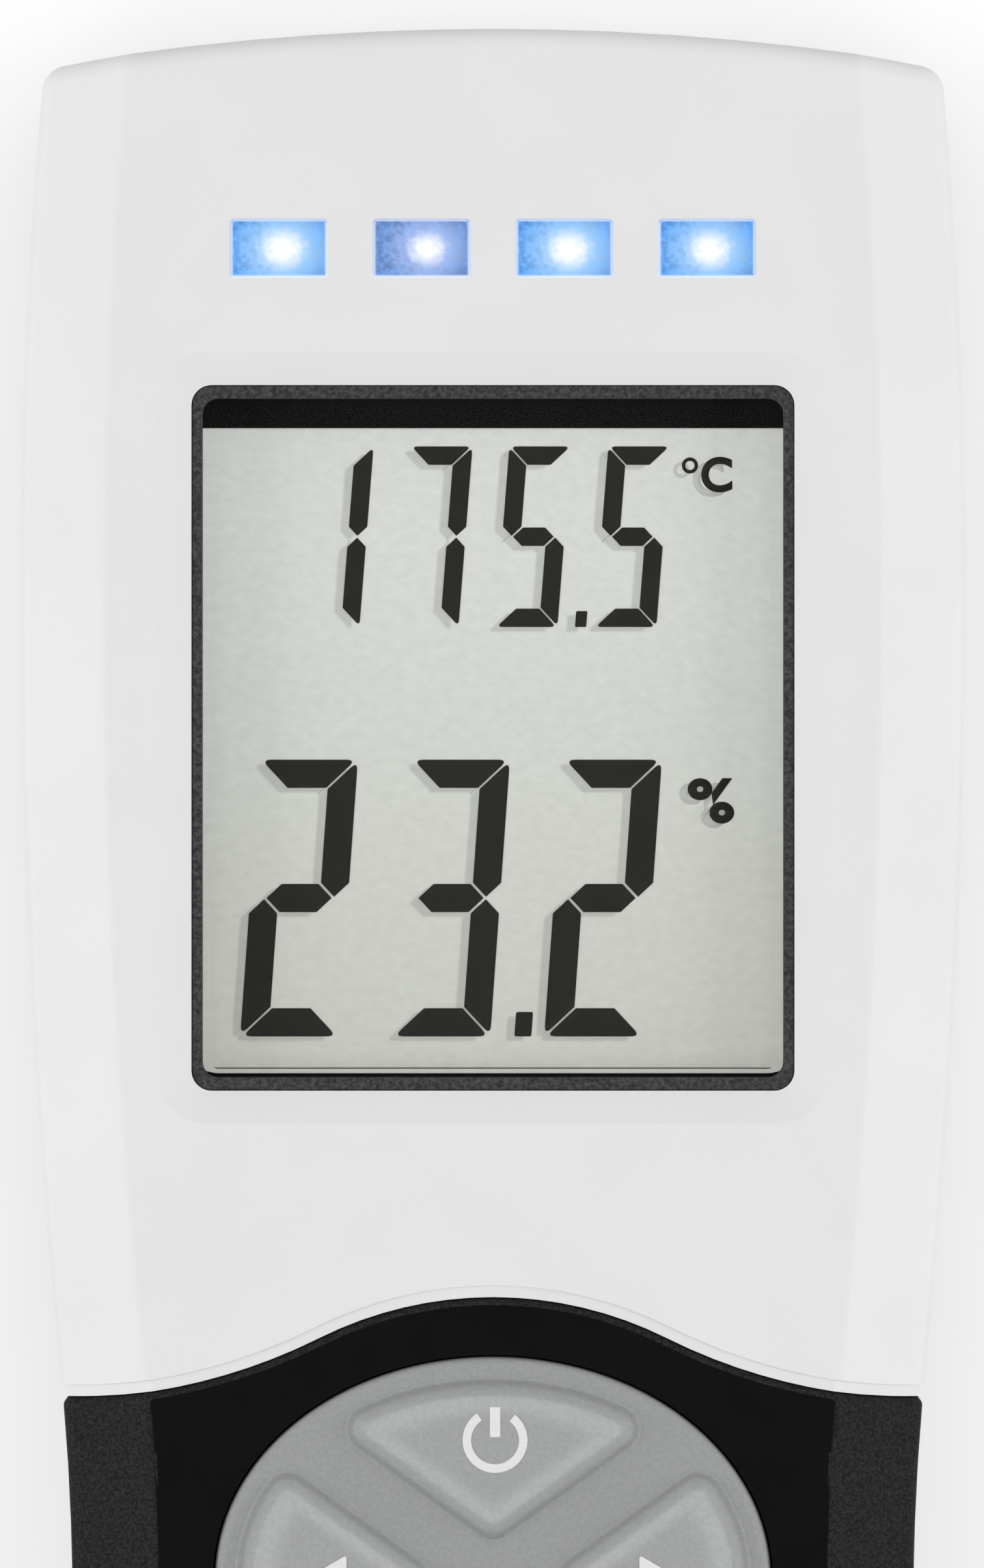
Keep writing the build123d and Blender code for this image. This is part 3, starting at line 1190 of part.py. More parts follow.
def build_parts():
    """Every piece of the tester by name."""
    outer = edges_rounded(housing_form(0))
    inner = housing_form(WALL)
    trim = housing_form(WALL / 2)
    head_nub, nose_nub = cell_nubs()
    parts = {
        "front_cover": front_cover(outer, inner, trim),
        "grip_cover": grip_cover(outer, inner, trim),
        "rear_shell": rear_shell(outer, inner, trim),
        "housing_seal": housing_seal(),
        "window_gasket": window_gasket(),
        "display_window": display_window(),
        "lcd_panel": lcd_panel(),
        "lcd_frame": lcd_frame(),
        "zebra_strips": zebra_strips(),
        "indicator_leds": indicator_leds(),
        "main_board": main_board(),
        "controller_chip": controller_chip(),
        "board_connector": board_connector(),
        "keypad_mat": keypad_mat(),
        "key_contacts": key_contacts(),
        "battery_cell_1": battery_cell(-CELL_OFFSET, head_nub, 1),
        "battery_cell_2": battery_cell(CELL_OFFSET, nose_nub, -1),
        "battery_contact_positive": contact_plate(-1),
        "battery_contact_negative": contact_plate(1),
        "battery_bridge": bridge_contact(),
        "battery_springs": battery_springs(),
        "battery_cover": battery_cover(outer),
        "case_screws": case_screws(),
        "board_screws": board_screws(),
        "probe_root": probe_root(),
        "root_seal": root_seal(),
        "probe_collar": probe_collar(),
        "probe_tube": probe_tube(),
        "sensor_guard": sensor_guard(),
        "sensor_plug": sensor_plug(),
        "sensor_plate": sensor_plate(),
        "electrode_combs": Compound(children=[electrode_comb(1), electrode_comb(-1)]),
        "temperature_sensor": temperature_sensor(),
        "sensor_cable": sensor_cable(),
    }
    for index, x in enumerate(status_centres(), start=1):
        parts[f"light_guide_{index}"] = light_guide(x)
    for name in key_centres():
        parts[f"{name}_key"] = key_cap(name)
        parts[f"{name}_contact_pill"] = contact_pill(name)
    return parts


def main():
    os.makedirs("parts", exist_ok=True)
    for name, solid in build_parts().items():
        export_step(solid, f"parts/{name}.step")


main()
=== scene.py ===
from math import atan2, pi, radians, sin

import bmesh
import bpy
from bpy.props import (
    FloatProperty,
    FloatVectorProperty,
    PointerProperty,
    StringProperty,
)
from mathutils import Matrix, Vector


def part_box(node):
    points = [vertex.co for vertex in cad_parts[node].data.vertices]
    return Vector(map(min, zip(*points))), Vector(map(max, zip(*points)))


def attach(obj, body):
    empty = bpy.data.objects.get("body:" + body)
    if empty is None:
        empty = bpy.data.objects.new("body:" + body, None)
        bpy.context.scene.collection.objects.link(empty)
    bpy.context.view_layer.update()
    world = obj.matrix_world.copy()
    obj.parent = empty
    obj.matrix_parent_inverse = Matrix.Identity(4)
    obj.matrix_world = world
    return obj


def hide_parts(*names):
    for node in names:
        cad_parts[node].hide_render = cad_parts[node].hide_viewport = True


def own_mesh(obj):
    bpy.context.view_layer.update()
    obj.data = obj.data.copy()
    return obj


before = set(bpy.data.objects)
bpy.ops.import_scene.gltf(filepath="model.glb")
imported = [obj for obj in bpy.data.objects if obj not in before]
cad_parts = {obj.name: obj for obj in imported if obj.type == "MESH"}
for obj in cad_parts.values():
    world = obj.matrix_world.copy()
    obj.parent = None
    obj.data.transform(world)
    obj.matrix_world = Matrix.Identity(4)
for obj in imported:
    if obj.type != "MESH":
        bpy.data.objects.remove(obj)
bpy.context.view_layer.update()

bl_info = {
    "name": "Oil tester dressing",
    "version": (1, 0, 0),
    "blender": (4, 5, 0),
    "location": "View3D > Sidebar > Oil tester",
    "description": "Finishes, display figures, key symbols and studio for the cooking oil tester",
    "category": "Object",
}

MM = 0.001
HOUSING_BODY = "housing"
KEY_NAMES = ("power", "right", "lower", "left")
CROWN_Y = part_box("front_cover")[1][1]
LCD_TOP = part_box("lcd_panel")[1][2]
MAT_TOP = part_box("keypad_mat")[1][2]
KEY_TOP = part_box("power_key")[1][2]

# Most noise lies between these two values
NOISE_LOW = 0.3
NOISE_HIGH = 0.7

# Display rows: X and station of the middle of the last figure, steps, bars, leaning and point.
# Stations are millimetres below the crown of the head.
UPPER_ROW = {
    "right": 7.385 * MM, "station": 26.735, "pitch": 5.243 * MM, "width": 3.30 * MM,
    "bar": 0.98 * MM, "gap": 0.055 * MM, "lean": 0.078,
    "point": (0.6 * MM, 0.85 * MM), "point_shift": 0.25 * MM,
}
LOWER_ROW = {
    "right": 5.83 * MM, "station": 45.87, "pitch": 8.05 * MM, "width": 5.2 * MM,
    "bar": 1.5 * MM, "gap": 0.08 * MM, "lean": 0.071,
    "point": (0.9 * MM, 1.3 * MM), "point_shift": 0.3 * MM,
}

SEGMENT_CORNER_SHARE = 0.3
POINT_CORNER_SHARE = 0.1
SEGMENT_DEPTH_SHARE = 0.4

# Unit signs: left and right X, then stations of the foot and the top
CELSIUS_EDGES = (11.03 * MM, 12.68 * MM, 24.39, 22.5)
PERCENT_EDGES = (10.31 * MM, 12.78 * MM, 41.93, 39.52)
SIGN_BOLDNESS = 0.032
DEGREE_X = 10.434 * MM
DEGREE_STATION = 22.963
DEGREE_RADII = (0.43 * MM, 0.24 * MM)

# Shade of the figures on the display
SHADE_ATTRIBUTE = "shade"
SHADE_BORDER = 0.09 * MM
SHADE_TONE = 0.76
SHADE_LEVEL_SHARE = 0.3
SHADE_DEPTH_SHARE = 0.2

# White hearts of the status windows: X and Y from the middle, then radius, in millimetres
LAMP_HEARTS = ((0.2, -0.05, 1.55), (0.3, -0.05, 1.25), (0.25, -0.1, 1.5), (0.15, -0.1, 1.45))
DIM_LAMP = 2
DIM_LAMP_COLOURS = ((0.13, 0.27, 0.62), (0.46, 0.58, 0.95))
LAMP_HALO = (0.45, 0.72, 1.0)
LAMP_EDGE_COLOUR = (0.72, 0.78, 0.98)
LAMP_EDGE_X = (2.36 * MM, 2.5 * MM)
LAMP_EDGE_Y = (1.36 * MM, 1.48 * MM)

# Skin over a key: a lip on the pad, then insets and rises in millimetres, then shares and rises
SKIN_LIP_WIDTH = 0.2 * MM
SKIN_LIP_HEIGHT = 0.008 * MM
SKIN_EDGE_LENGTH = 0.45 * MM
SKIN_CUT_DEPTH = 2 * MM
SKIN_SLOPE = ((0.12, 0.03), (0.18, 0.12), (0.2, 0.2), (0.2, 0.19), (0.2, 0.13), (0.2, 0.06))
SKIN_DISH = ((0.93, 0.02), (0.92, -0.01), (0.88, -0.03), (0.8, -0.035), (0.65, -0.03), (0.4, -0.01))
SKIN_MERGE_SHARE = 0.3

# Symbols on the keys
POWER_X = 0.11 * MM
POWER_STATION = 74.36
POWER_RADII = (1.71 * MM, 1.26 * MM)
POWER_GAP = radians(37.5)
POWER_BAR = (0.55 * MM, 1.58 * MM)
POWER_BAR_RISE = 0.96 * MM
LOWER_RING_RADII = (1.35 * MM, 0.9 * MM)
ARROW_RADIUS = 1.5 * MM
ARROW_CORNER = 0.18 * MM
SYMBOL_LIFT = 0.02 * MM
SYMBOL_DEPTH = 0.015 * MM
WELD_DISTANCE = 0.002 * MM
LEVEL_TOLERANCE = 0.001 * MM

# Studio: places and sizes of the lights and the floor
AIM = (0, 0.05, 0.01)
SIDE_LIGHT_PLACE = (0.9, 0.1, 0.30)
SIDE_LIGHT_SIZE = (0.25, 1.0)
TOP_LIGHT_PLACE = (0, 0.1, 1.3)
TOP_LIGHT_SIZE = (0.9, 0.9)
FLOOR_SIZE = 8.0
SENSOR_WIDTH = 36.0

# Seven-segment figures: which of top, upper left, upper right, middle, lower left,
# lower right and bottom are dark
SEGMENTS = {
    "0": (1, 1, 1, 0, 1, 1, 1),
    "1": (0, 0, 1, 0, 0, 1, 0),
    "2": (1, 0, 1, 1, 1, 0, 1),
    "3": (1, 0, 1, 1, 0, 1, 1),
    "4": (0, 1, 1, 1, 0, 1, 0),
    "5": (1, 1, 0, 1, 0, 1, 1),
    "6": (1, 1, 0, 1, 1, 1, 1),
    "7": (1, 0, 1, 0, 0, 1, 0),
    "8": (1, 1, 1, 1, 1, 1, 1),
    "9": (1, 1, 1, 1, 0, 1, 1),
}


def station(millimetres):
    """Y of a point this many millimetres below the crown of the head."""
    return CROWN_Y - millimetres * MM


def middle_of(name):
    """X and Y of the middle of a CAD node's box."""
    low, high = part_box(name)
    return (low[0] + high[0]) / 2, (low[1] + high[1]) / 2


# Sizes and colours that a user would change

class OilTesterReadings(bpy.types.PropertyGroup):
    upper_text: StringProperty(
        name="Upper reading", description="Figures of the temperature row", default="175.5")
    lower_text: StringProperty(
        name="Lower reading", description="Figures of the quality row", default="23.2")
    upper_height: FloatProperty(
        name="Upper figure height", description="Height of the temperature figures",
        default=9.57 * MM, min=4 * MM, max=12 * MM, subtype="DISTANCE", unit="LENGTH")
    lower_height: FloatProperty(
        name="Lower figure height", description="Height of the quality figures",
        default=14.66 * MM, min=6 * MM, max=16 * MM, subtype="DISTANCE", unit="LENGTH")
    relief: FloatProperty(
        name="Figure relief", description="How far the dark segments stand off the display",
        default=0.03 * MM, min=0.005 * MM, max=0.2 * MM, subtype="DISTANCE", unit="LENGTH")
    shade_shift: FloatVectorProperty(
        name="Shade shift", description="How far the soft shade of a segment lies from it",
        default=(-0.45 * MM, -0.24 * MM), size=2, subtype="TRANSLATION", unit="LENGTH")


class OilTesterFinishes(bpy.types.PropertyGroup):
    cover_white: FloatVectorProperty(
        name="Cover white", description="Colour of the front cover",
        default=(0.785, 0.785, 0.785), size=3, min=0, max=1, subtype="COLOR")
    grip_black: FloatVectorProperty(
        name="Grip black", description="Colour of the smooth dark plastic",
        default=(0.0026, 0.0026, 0.0028), size=3, min=0, max=1, subtype="COLOR")
    flank_grey: FloatVectorProperty(
        name="Flank grey", description="Colour of the textured dark plastic",
        default=(0.021, 0.021, 0.022), size=3, min=0, max=1, subtype="COLOR")
    # Display colour, also used for its painted glow.
    display_colour_and_painted_glow: FloatVectorProperty(
        name="Display colour", description="Colour of the lit display",
        default=(0.60, 0.615, 0.585), size=3, min=0, max=1, subtype="COLOR")
    segment_dark: FloatVectorProperty(
        name="Segment colour", description="Colour of the dark segments",
        default=(0.011, 0.011, 0.009), size=3, min=0, max=1, subtype="COLOR")
    lamp_blue: FloatVectorProperty(
        name="Lamp blue", description="Colour of the lit status windows",
        default=(0.07, 0.33, 0.86), size=3, min=0, max=1, subtype="COLOR")
    lamp_strength: FloatProperty(
        name="Lamp strength", description="How strongly the status windows glow",
        default=1.0, min=0, max=5)
    keypad_grey: FloatVectorProperty(
        name="Keypad grey", description="Colour of the rubber keypad",
        default=(0.33, 0.335, 0.335), size=3, min=0, max=1, subtype="COLOR")
    print_light: FloatVectorProperty(
        name="Symbol colour", description="Colour of the symbols on the keys",
        default=(0.78, 0.78, 0.78), size=3, min=0, max=1, subtype="COLOR")


class OilTesterStudio(bpy.types.PropertyGroup):
    lens: FloatProperty(
        name="Lens", description="Focal length of the camera",
        default=300.0, min=50, max=600, subtype="DISTANCE_CAMERA")
    frame_height: FloatProperty(
        name="Framed height", description="Height of the object's part that the camera frames",
        default=82.90 * MM, min=20 * MM, max=1.0, subtype="DISTANCE", unit="LENGTH")
    frame_station: FloatProperty(
        name="Framed middle", description="Middle of the frame below the crown, in millimetres",
        default=39.83, min=0, max=300)
    frame_shift: FloatProperty(
        name="Framed shift", description="Middle of the frame beside the centre line",
        default=-0.05 * MM, min=-20 * MM, max=20 * MM, subtype="DISTANCE", unit="LENGTH")
    focus_level: FloatProperty(
        name="Framed level", description="Height above the floor at which the frame is measured",
        default=24.4 * MM, min=0, max=0.1, subtype="DISTANCE", unit="LENGTH")
    sky: FloatProperty(
        name="Sky", description="Strength of the even light from all round",
        default=0.57, min=0, max=2)
    side_power: FloatProperty(
        name="Side lights", description="Power of each low side light",
        default=4.5, min=0, max=200, unit="POWER")
    top_power: FloatProperty(
        name="Top light", description="Power of the overhead light",
        default=2.5, min=0, max=200, unit="POWER")
    floor_colour: FloatVectorProperty(
        name="Floor colour", description="Colour of the pale floor",
        default=(0.62, 0.62, 0.62), size=3, min=0, max=1, subtype="COLOR")
    floor_lift: FloatProperty(
        name="Floor lift", description="Part of the floor's white that no shadow takes away",
        default=0.5, min=0, max=1, subtype="FACTOR")


GROUPS = (OilTesterReadings, OilTesterFinishes, OilTesterStudio)


# Node helpers

class Finish:
    """A material under construction, with short ways to add the nodes it needs."""

    def __init__(self, name):
        self.material = bpy.data.materials.new(name)
        self.material.use_nodes = True
        self.tree = self.material.node_tree
        self.tree.nodes.clear()
        self.output = self.add("ShaderNodeOutputMaterial")
        self.shader = self.add("ShaderNodeBsdfPrincipled")
        self.link(self.shader.outputs[0], self.output.inputs["Surface"])
        self.coordinates = self.add("ShaderNodeTexCoord")

    def add(self, kind, **settings):
        """A node with these settings."""
        node = self.tree.nodes.new(kind)
        for key, value in settings.items():
            setattr(node, key, value)
        return node

    def link(self, source, target):
        self.tree.links.new(source, target)

    def put(self, socket, value):
        """Link a socket to another, or set its number or colour."""
        if isinstance(value, bpy.types.NodeSocket):
            self.link(value, socket)
        elif isinstance(value, (tuple, list)) and socket.type == "RGBA" and len(value) == 3:
            socket.default_value = (*value, 1.0)
        else:
            socket.default_value = value

    def base(self, **values):
        """Set inputs of the main shader by name."""
        for name, value in values.items():
            self.put(self.shader.inputs[name.replace("_", " ")], value)

    def place(self, centre=(0, 0, 0), scale=(1, 1, 1), turn=(0, 0, 0)):
        """Object coordinates about a point, stretched and turned."""
        mapping = self.add("ShaderNodeMapping", vector_type="TEXTURE")
        self.link(self.coordinates.outputs["Object"], mapping.inputs["Vector"])
        mapping.inputs["Location"].default_value = centre
        mapping.inputs["Rotation"].default_value = turn
        mapping.inputs["Scale"].default_value = scale
        return mapping.outputs["Vector"]

    def axis(self, vector, name):
        """One component of a vector."""
        split = self.add("ShaderNodeSeparateXYZ")
        self.link(vector, split.inputs[0])
        return split.outputs[name]

    def noise(self, size, detail=3.0, vector=None, roughness=0.55):
        """Noise whose grain is about this large in metres."""
        node = self.add("ShaderNodeTexNoise")
        self.link(vector or self.coordinates.outputs["Object"], node.inputs["Vector"])
        node.inputs["Scale"].default_value = 1.0 / size
        node.inputs["Detail"].default_value = detail
        node.inputs["Roughness"].default_value = roughness
        return node.outputs["Fac"]

    def maths(self, operation, first, second=0.0):
        node = self.add("ShaderNodeMath", operation=operation)
        self.put(node.inputs[0], first)
        self.put(node.inputs[1], second)
        return node.outputs[0]

    def ramp(self, value, low, high, start=0.0, end=1.0, smooth=True):
        """A value brought from low..high to start..end and held there."""
        kind = "SMOOTHSTEP" if smooth else "LINEAR"
        node = self.add("ShaderNodeMapRange", interpolation_type=kind)
        self.put(node.inputs["Value"], value)
        limits = {"From Min": low, "From Max": high, "To Min": start, "To Max": end}
        for name, number in limits.items():
            node.inputs[name].default_value = number
        return node.outputs["Result"]

    def spread(self, noise, start=0.0, end=1.0, smooth=True):
        """Noise spread over start..end."""
        return self.ramp(noise, NOISE_LOW, NOISE_HIGH, start, end, smooth)

    def grey(self, value):
        """A grey of this brightness."""
        node = self.add("ShaderNodeCombineColor")
        for channel in ("Red", "Green", "Blue"):
            self.link(value, node.inputs[channel])
        return node.outputs[0]

    def blend(self, factor, first, second, mode="MIX"):
        """Two colours mixed by a factor."""
        node = self.add("ShaderNodeMix", data_type="RGBA", blend_type=mode)
        self.put(node.inputs["Factor"], factor)
        self.put(node.inputs["A"], first)
        self.put(node.inputs["B"], second)
        return node.outputs["Result"]

    def tone(self, factor, colour, low, high):
        """A colour between a darker and a lighter version of itself."""
        return self.blend(factor, scaled(colour, low), scaled(colour, high))

    def bump(self, height, depth, strength=1.0):
        """Fine relief of this depth in metres."""
        node = self.add("ShaderNodeBump")
        node.inputs["Strength"].default_value = strength
        node.inputs["Distance"].default_value = depth
        self.link(height, node.inputs["Height"])
        return node.outputs["Normal"]

    def facing(self):
        """How far the surface faces the front of the object, from -1 to 1."""
        return self.axis(self.coordinates.outputs["Normal"], "Z")


class WorldFinish(Finish):
    """The world's nodes, with the same short ways."""

    def __init__(self, world):
        self.tree = world.node_tree
        self.tree.nodes.clear()
        self.output = self.add("ShaderNodeOutputWorld")
        self.background = self.add("ShaderNodeBackground")
        self.background.inputs["Color"].default_value = (1, 1, 1, 1)
        self.link(self.background.outputs[0], self.output.inputs["Surface"])


def scaled(colour, factor):
    """A colour made lighter or darker."""
    return tuple(channel * factor for channel in colour)


def coat(piece, finish):
    """Give one object this finish and nothing else."""
    piece.data.materials.clear()
    piece.data.materials.append(finish.material)


def dress(finish, *names):
    """Give CAD nodes this finish."""
    for name in names:
        coat(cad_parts[name], finish)


def finishes():
    return bpy.context.scene.oil_tester_finishes


# Housing finishes

def white_plastic():
    """Fine satin white plastic."""
    white = finishes().cover_white
    finish = Finish("white satin plastic")
    cloud = finish.noise(9 * MM, 2.0)
    tone = finish.spread(cloud, smooth=False)
    finish.base(
        Base_Color=finish.tone(tone, white, 0.985, 1.01),
        Roughness=finish.spread(finish.noise(0.25 * MM), 0.42, 0.5),
        Normal=finish.bump(finish.noise(0.12 * MM, 2.0), 0.004 * MM, 0.5),
        Specular_IOR_Level=0.3,
    )
    return finish


def dark_plastic():
    """Smooth dark front, grained flanks and back."""
    colours = finishes()
    finish = Finish("dark grained plastic")
    flank = finish.ramp(finish.facing(), 0.965, 0.99, 1.0, 0.0)
    grain = finish.noise(0.16 * MM, 4.0, roughness=0.7)
    speckle = finish.ramp(grain, 0.36, 0.66)
    grained = finish.tone(speckle, colours.flank_grey, 0.5, 1.55)
    smooth_tone = finish.spread(finish.noise(3 * MM, 2.0))
    smooth = finish.tone(smooth_tone, colours.grip_black, 0.8, 1.2)
    relief = finish.maths("MULTIPLY", finish.noise(0.2 * MM, 3.0), flank)
    finish.base(
        Base_Color=finish.blend(flank, smooth, grained),
        Roughness=finish.ramp(flank, 0.0, 1.0, 0.42, 0.68),
        Normal=finish.bump(relief, 0.03 * MM, 0.6),
        Specular_IOR_Level=0.04,
    )
    return finish


def gasket_rubber(name, dark, light):
    """Matt rubber with a coarse mottle."""
    finish = Finish(name)
    grain = finish.noise(0.26 * MM, 5.0, roughness=0.75)
    finish.base(
        Base_Color=finish.blend(finish.ramp(grain, 0.35, 0.68), dark, light),
        Roughness=0.85,
        Normal=finish.bump(grain, 0.06 * MM, 0.7),
        Specular_IOR_Level=0.15,
    )
    return finish


class OBJECT_OT_oil_tester_housing(bpy.types.Operator):
    """Finish the covers, the back, the seals and the window's gasket"""
    bl_idname = "object.oil_tester_housing"
    bl_label = "Housing finishes"

    def execute(self, context):
        dress(white_plastic(), "front_cover")
        dress(dark_plastic(), "grip_cover", "rear_shell", "battery_cover", "probe_collar")
        dress(gasket_rubber("window gasket rubber", (0.024,) * 3, (0.085,) * 3), "window_gasket")
        seal = gasket_rubber("black seal rubber", (0.01,) * 3, (0.03,) * 3)
        dress(seal, "housing_seal", "root_seal")
        return {"FINISHED"}


# Display and status windows

def display_surface(name, shaded=False):
    """Paper-like display with a slow gradient, darker towards the bottom, and a painted glow that
    evens out the shade on it; a shade piece darkens it by its attribute.
    """
    colour = finishes().display_colour_and_painted_glow
    finish = Finish(name)
    height = finish.axis(finish.place(centre=(0, middle_of("lcd_panel")[1], 0)), "Y")
    lower = (colour[0] * 0.88, colour[1] * 0.885, colour[2] * 0.845)
    slope = finish.blend(finish.ramp(height, -19 * MM, 12 * MM), lower, scaled(colour, 1.02))
    fibre = finish.noise(0.45 * MM, 4.0, vector=finish.place(scale=(1.5, 1.0, 1.0)), roughness=0.6)
    paper = finish.spread(fibre, 0.955, 1.045, smooth=False)
    if shaded:
        attribute = finish.add("ShaderNodeAttribute", attribute_name=SHADE_ATTRIBUTE)
        tone = finish.ramp(attribute.outputs["Fac"], 0.0, 1.0, 1.0, SHADE_TONE)
        paper = finish.maths("MULTIPLY", paper, tone)
    lit = finish.blend(1.0, slope, finish.grey(paper), "MULTIPLY")
    # The emission is painted light: an even glow that hides the shade the window's walls cast on the
    # display.
    finish.base(
        Base_Color=finish.blend(1.0, lit, (0.5, 0.5, 0.5), "MULTIPLY"),
        Emission_Color=lit,
        Roughness=0.9,
        Normal=finish.bump(fibre, 0.05 * MM, 0.35),
        Emission_Strength=0.5,
        Specular_IOR_Level=0.05,
    )
    return finish


def clear_window():
    """Clear polished plastic that lets the studio light through to the display."""
    finish = Finish("clear window plastic")
    finish.base(
        Base_Color=(1.0, 1.0, 1.0),
        Roughness=finish.spread(finish.noise(6 * MM), 0.0, 0.015),
        IOR=1.1,
        Transmission_Weight=1.0,
    )
    clear = finish.add("ShaderNodeBsdfTransparent")
    path = finish.add("ShaderNodeLightPath")
    mix = finish.add("ShaderNodeMixShader")
    finish.link(path.outputs["Is Shadow Ray"], mix.inputs[0])
    finish.link(finish.shader.outputs[0], mix.inputs[1])
    finish.link(clear.outputs[0], mix.inputs[2])
    finish.link(mix.outputs[0], finish.output.inputs["Surface"])
    return finish


def plain_plastic(name, colour, roughness=0.5, specular=0.3, grain=0.3 * MM, contrast=0.12):
    """Moulded plastic with a fine even grain."""
    finish = Finish(name)
    mottle = finish.noise(grain, 3.0)
    tone = finish.spread(mottle)
    finish.base(
        Base_Color=finish.tone(tone, colour, 1 - contrast, 1 + contrast),
        Roughness=finish.spread(finish.noise(2 * MM), roughness - 0.05, roughness + 0.05),
        Normal=finish.bump(mottle, 0.008 * MM, 0.4),
        Specular_IOR_Level=specular,
    )
    return finish


def glowing_glass(name, middle, blue, rim, heart, strength):
    """Rippled window lit from behind, with a white heart right of its middle."""
    finish = Finish(name)
    local = finish.place(centre=(*middle, 0))
    ripple = finish.noise(0.36 * MM, 3.0, vector=local, roughness=0.55)
    across = finish.axis(local, "X")
    down = finish.axis(local, "Y")
    wobble = finish.spread(ripple, -0.2 * MM, 0.2 * MM, smooth=False)
    off_x = finish.maths("ADD", finish.maths("SUBTRACT", across, heart[0]), wobble)
    off_y = finish.maths("MULTIPLY", finish.maths("SUBTRACT", down, heart[1]), 1.15)
    square = finish.maths(
        "ADD", finish.maths("POWER", off_x, 2.0), finish.maths("POWER", off_y, 2.0))
    away = finish.maths("SQRT", square)
    hot = finish.ramp(away, heart[2] * 0.15, heart[2] * 1.05, 1.0, 0.0)
    halo = finish.ramp(away, heart[2] * 0.7, heart[2] * 2.1, 1.0, 0.0)
    waves = finish.ramp(ripple, 0.34, 0.66, 0.0, 1.0)
    deep = finish.tone(waves, blue, 0.66, 1.08)
    pale = finish.blend(finish.maths("MULTIPLY", halo, 0.62), deep, rim)
    glow = finish.blend(hot, pale, (1.0, 1.0, 1.0))
    edge_x = finish.ramp(finish.maths("ABSOLUTE", across), *LAMP_EDGE_X)
    edge_y = finish.ramp(finish.maths("ABSOLUTE", down), *LAMP_EDGE_Y)
    edge = finish.maths("MAXIMUM", edge_x, edge_y)
    glow = finish.blend(finish.maths("MULTIPLY", edge, 0.75), glow, LAMP_EDGE_COLOUR)
    finish.base(
        Base_Color=(0.02, 0.04, 0.08),
        Emission_Color=glow,
        Roughness=0.2,
        Normal=finish.bump(ripple, 0.12 * MM, 0.5),
        Emission_Strength=strength,
        Specular_IOR_Level=0.2,
    )
    return finish


class OBJECT_OT_oil_tester_display(bpy.types.Operator):
    """Finish the display, its frame, the clear window and the status windows"""
    bl_idname = "object.oil_tester_display"
    bl_label = "Display and status windows"

    def execute(self, context):
        colours = finishes()
        blue = tuple(colours.lamp_blue)
        glow = colours.lamp_strength
        dress(display_surface("lit display surface"), "lcd_panel")
        dress(clear_window(), "display_window")
        dress(plain_plastic("black frame plastic", (0.0135, 0.0135, 0.0135), 0.7, 0.1), "lcd_frame")
        strip = plain_plastic("conductive strip rubber", (0.12, 0.12, 0.13), 0.8, 0.2)
        dress(strip, "zebra_strips")
        dress(plain_plastic("lamp body plastic", (0.85, 0.83, 0.7), 0.4, 0.5), "indicator_leds")
        for index, heart in enumerate(LAMP_HEARTS, start=1):
            tint, rim = DIM_LAMP_COLOURS if index == DIM_LAMP else (blue, LAMP_HALO)
            finish = glowing_glass(
                f"status window glow {index}", middle_of(f"light_guide_{index}"), tint, rim,
                scaled(heart, MM), glow)
            dress(finish, f"light_guide_{index}")
        return {"FINISHED"}


# Keypad

def soft_rubber(name, colour, lighter=1.0):
    """Soft matt silicone rubber."""
    finish = Finish(name)
    mottle = finish.noise(0.22 * MM, 4.0, roughness=0.65)
    tone = finish.ramp(mottle, 0.32, 0.68)
    shade = scaled(colour, lighter)
    finish.base(
        Base_Color=finish.tone(tone, shade, 0.93, 1.05),
        Roughness=0.72,
        Normal=finish.bump(mottle, 0.012 * MM, 0.5),
        Specular_IOR_Level=0.2,
        Sheen_Weight=0.05,
    )
    return finish


class OBJECT_OT_oil_tester_keypad(bpy.types.Operator):
    """Finish the keypad's rubber keys and their contacts"""
    bl_idname = "object.oil_tester_keypad"
    bl_label = "Keypad"

    def execute(self, context):
        grey = tuple(finishes().keypad_grey)
        # Painted light: the keys get the keypad grey made 1.12 times lighter, though keys and pad
        # are one rubber.
        dress(soft_rubber("key rubber", grey, 1.12), *(f"{name}_key" for name in KEY_NAMES))
        pills = [f"{name}_contact_pill" for name in KEY_NAMES]
        dress(plain_plastic("carbon pill rubber", (0.02, 0.02, 0.02), 0.8, 0.1), *pills)
        dress(brushed_metal("gold plated pads", (0.83, 0.58, 0.22), 0.3, 0.4 * MM), "key_contacts")
        return {"FINISHED"}


# Inside, battery bay and probe

def brushed_metal(name, colour, roughness, grain, stretch=(1.0, 1.0, 1.0), contrast=0.1):
    """Metal with fine scratches drawn out along the stretched axis."""
    finish = Finish(name)
    lines = finish.noise(grain, 4.0, vector=finish.place(scale=stretch), roughness=0.65)
    tone = finish.spread(lines)
    finish.base(
        Base_Color=finish.tone(tone, colour, 1 - contrast, 1 + contrast * 0.5),
        Roughness=finish.spread(lines, roughness - 0.07, roughness + 0.07),
        Normal=finish.bump(lines, 0.01 * MM, 0.4),
        Metallic=1.0,
    )
    return finish


def board_resist():
    """Green solder resist with copper tracks showing through."""
    finish = Finish("green circuit board")
    tracks = finish.add("ShaderNodeTexBrick", offset=0.5, squash=1.0)
    finish.link(finish.place(turn=(0, 0, radians(45))), tracks.inputs["Vector"])
    tracks.inputs["Scale"].default_value = 160.0
    tracks.inputs["Mortar Size"].default_value = 0.09
    tracks.inputs["Color1"].default_value = (0.012, 0.12, 0.045, 1)
    tracks.inputs["Color2"].default_value = (0.014, 0.14, 0.05, 1)
    tracks.inputs["Mortar"].default_value = (0.03, 0.24, 0.09, 1)
    finish.base(
        Base_Color=tracks.outputs["Color"],
        Roughness=finish.spread(finish.noise(1.5 * MM), 0.28, 0.4),
        Normal=finish.bump(tracks.outputs["Fac"], 0.02 * MM, 0.5),
    )
    return finish


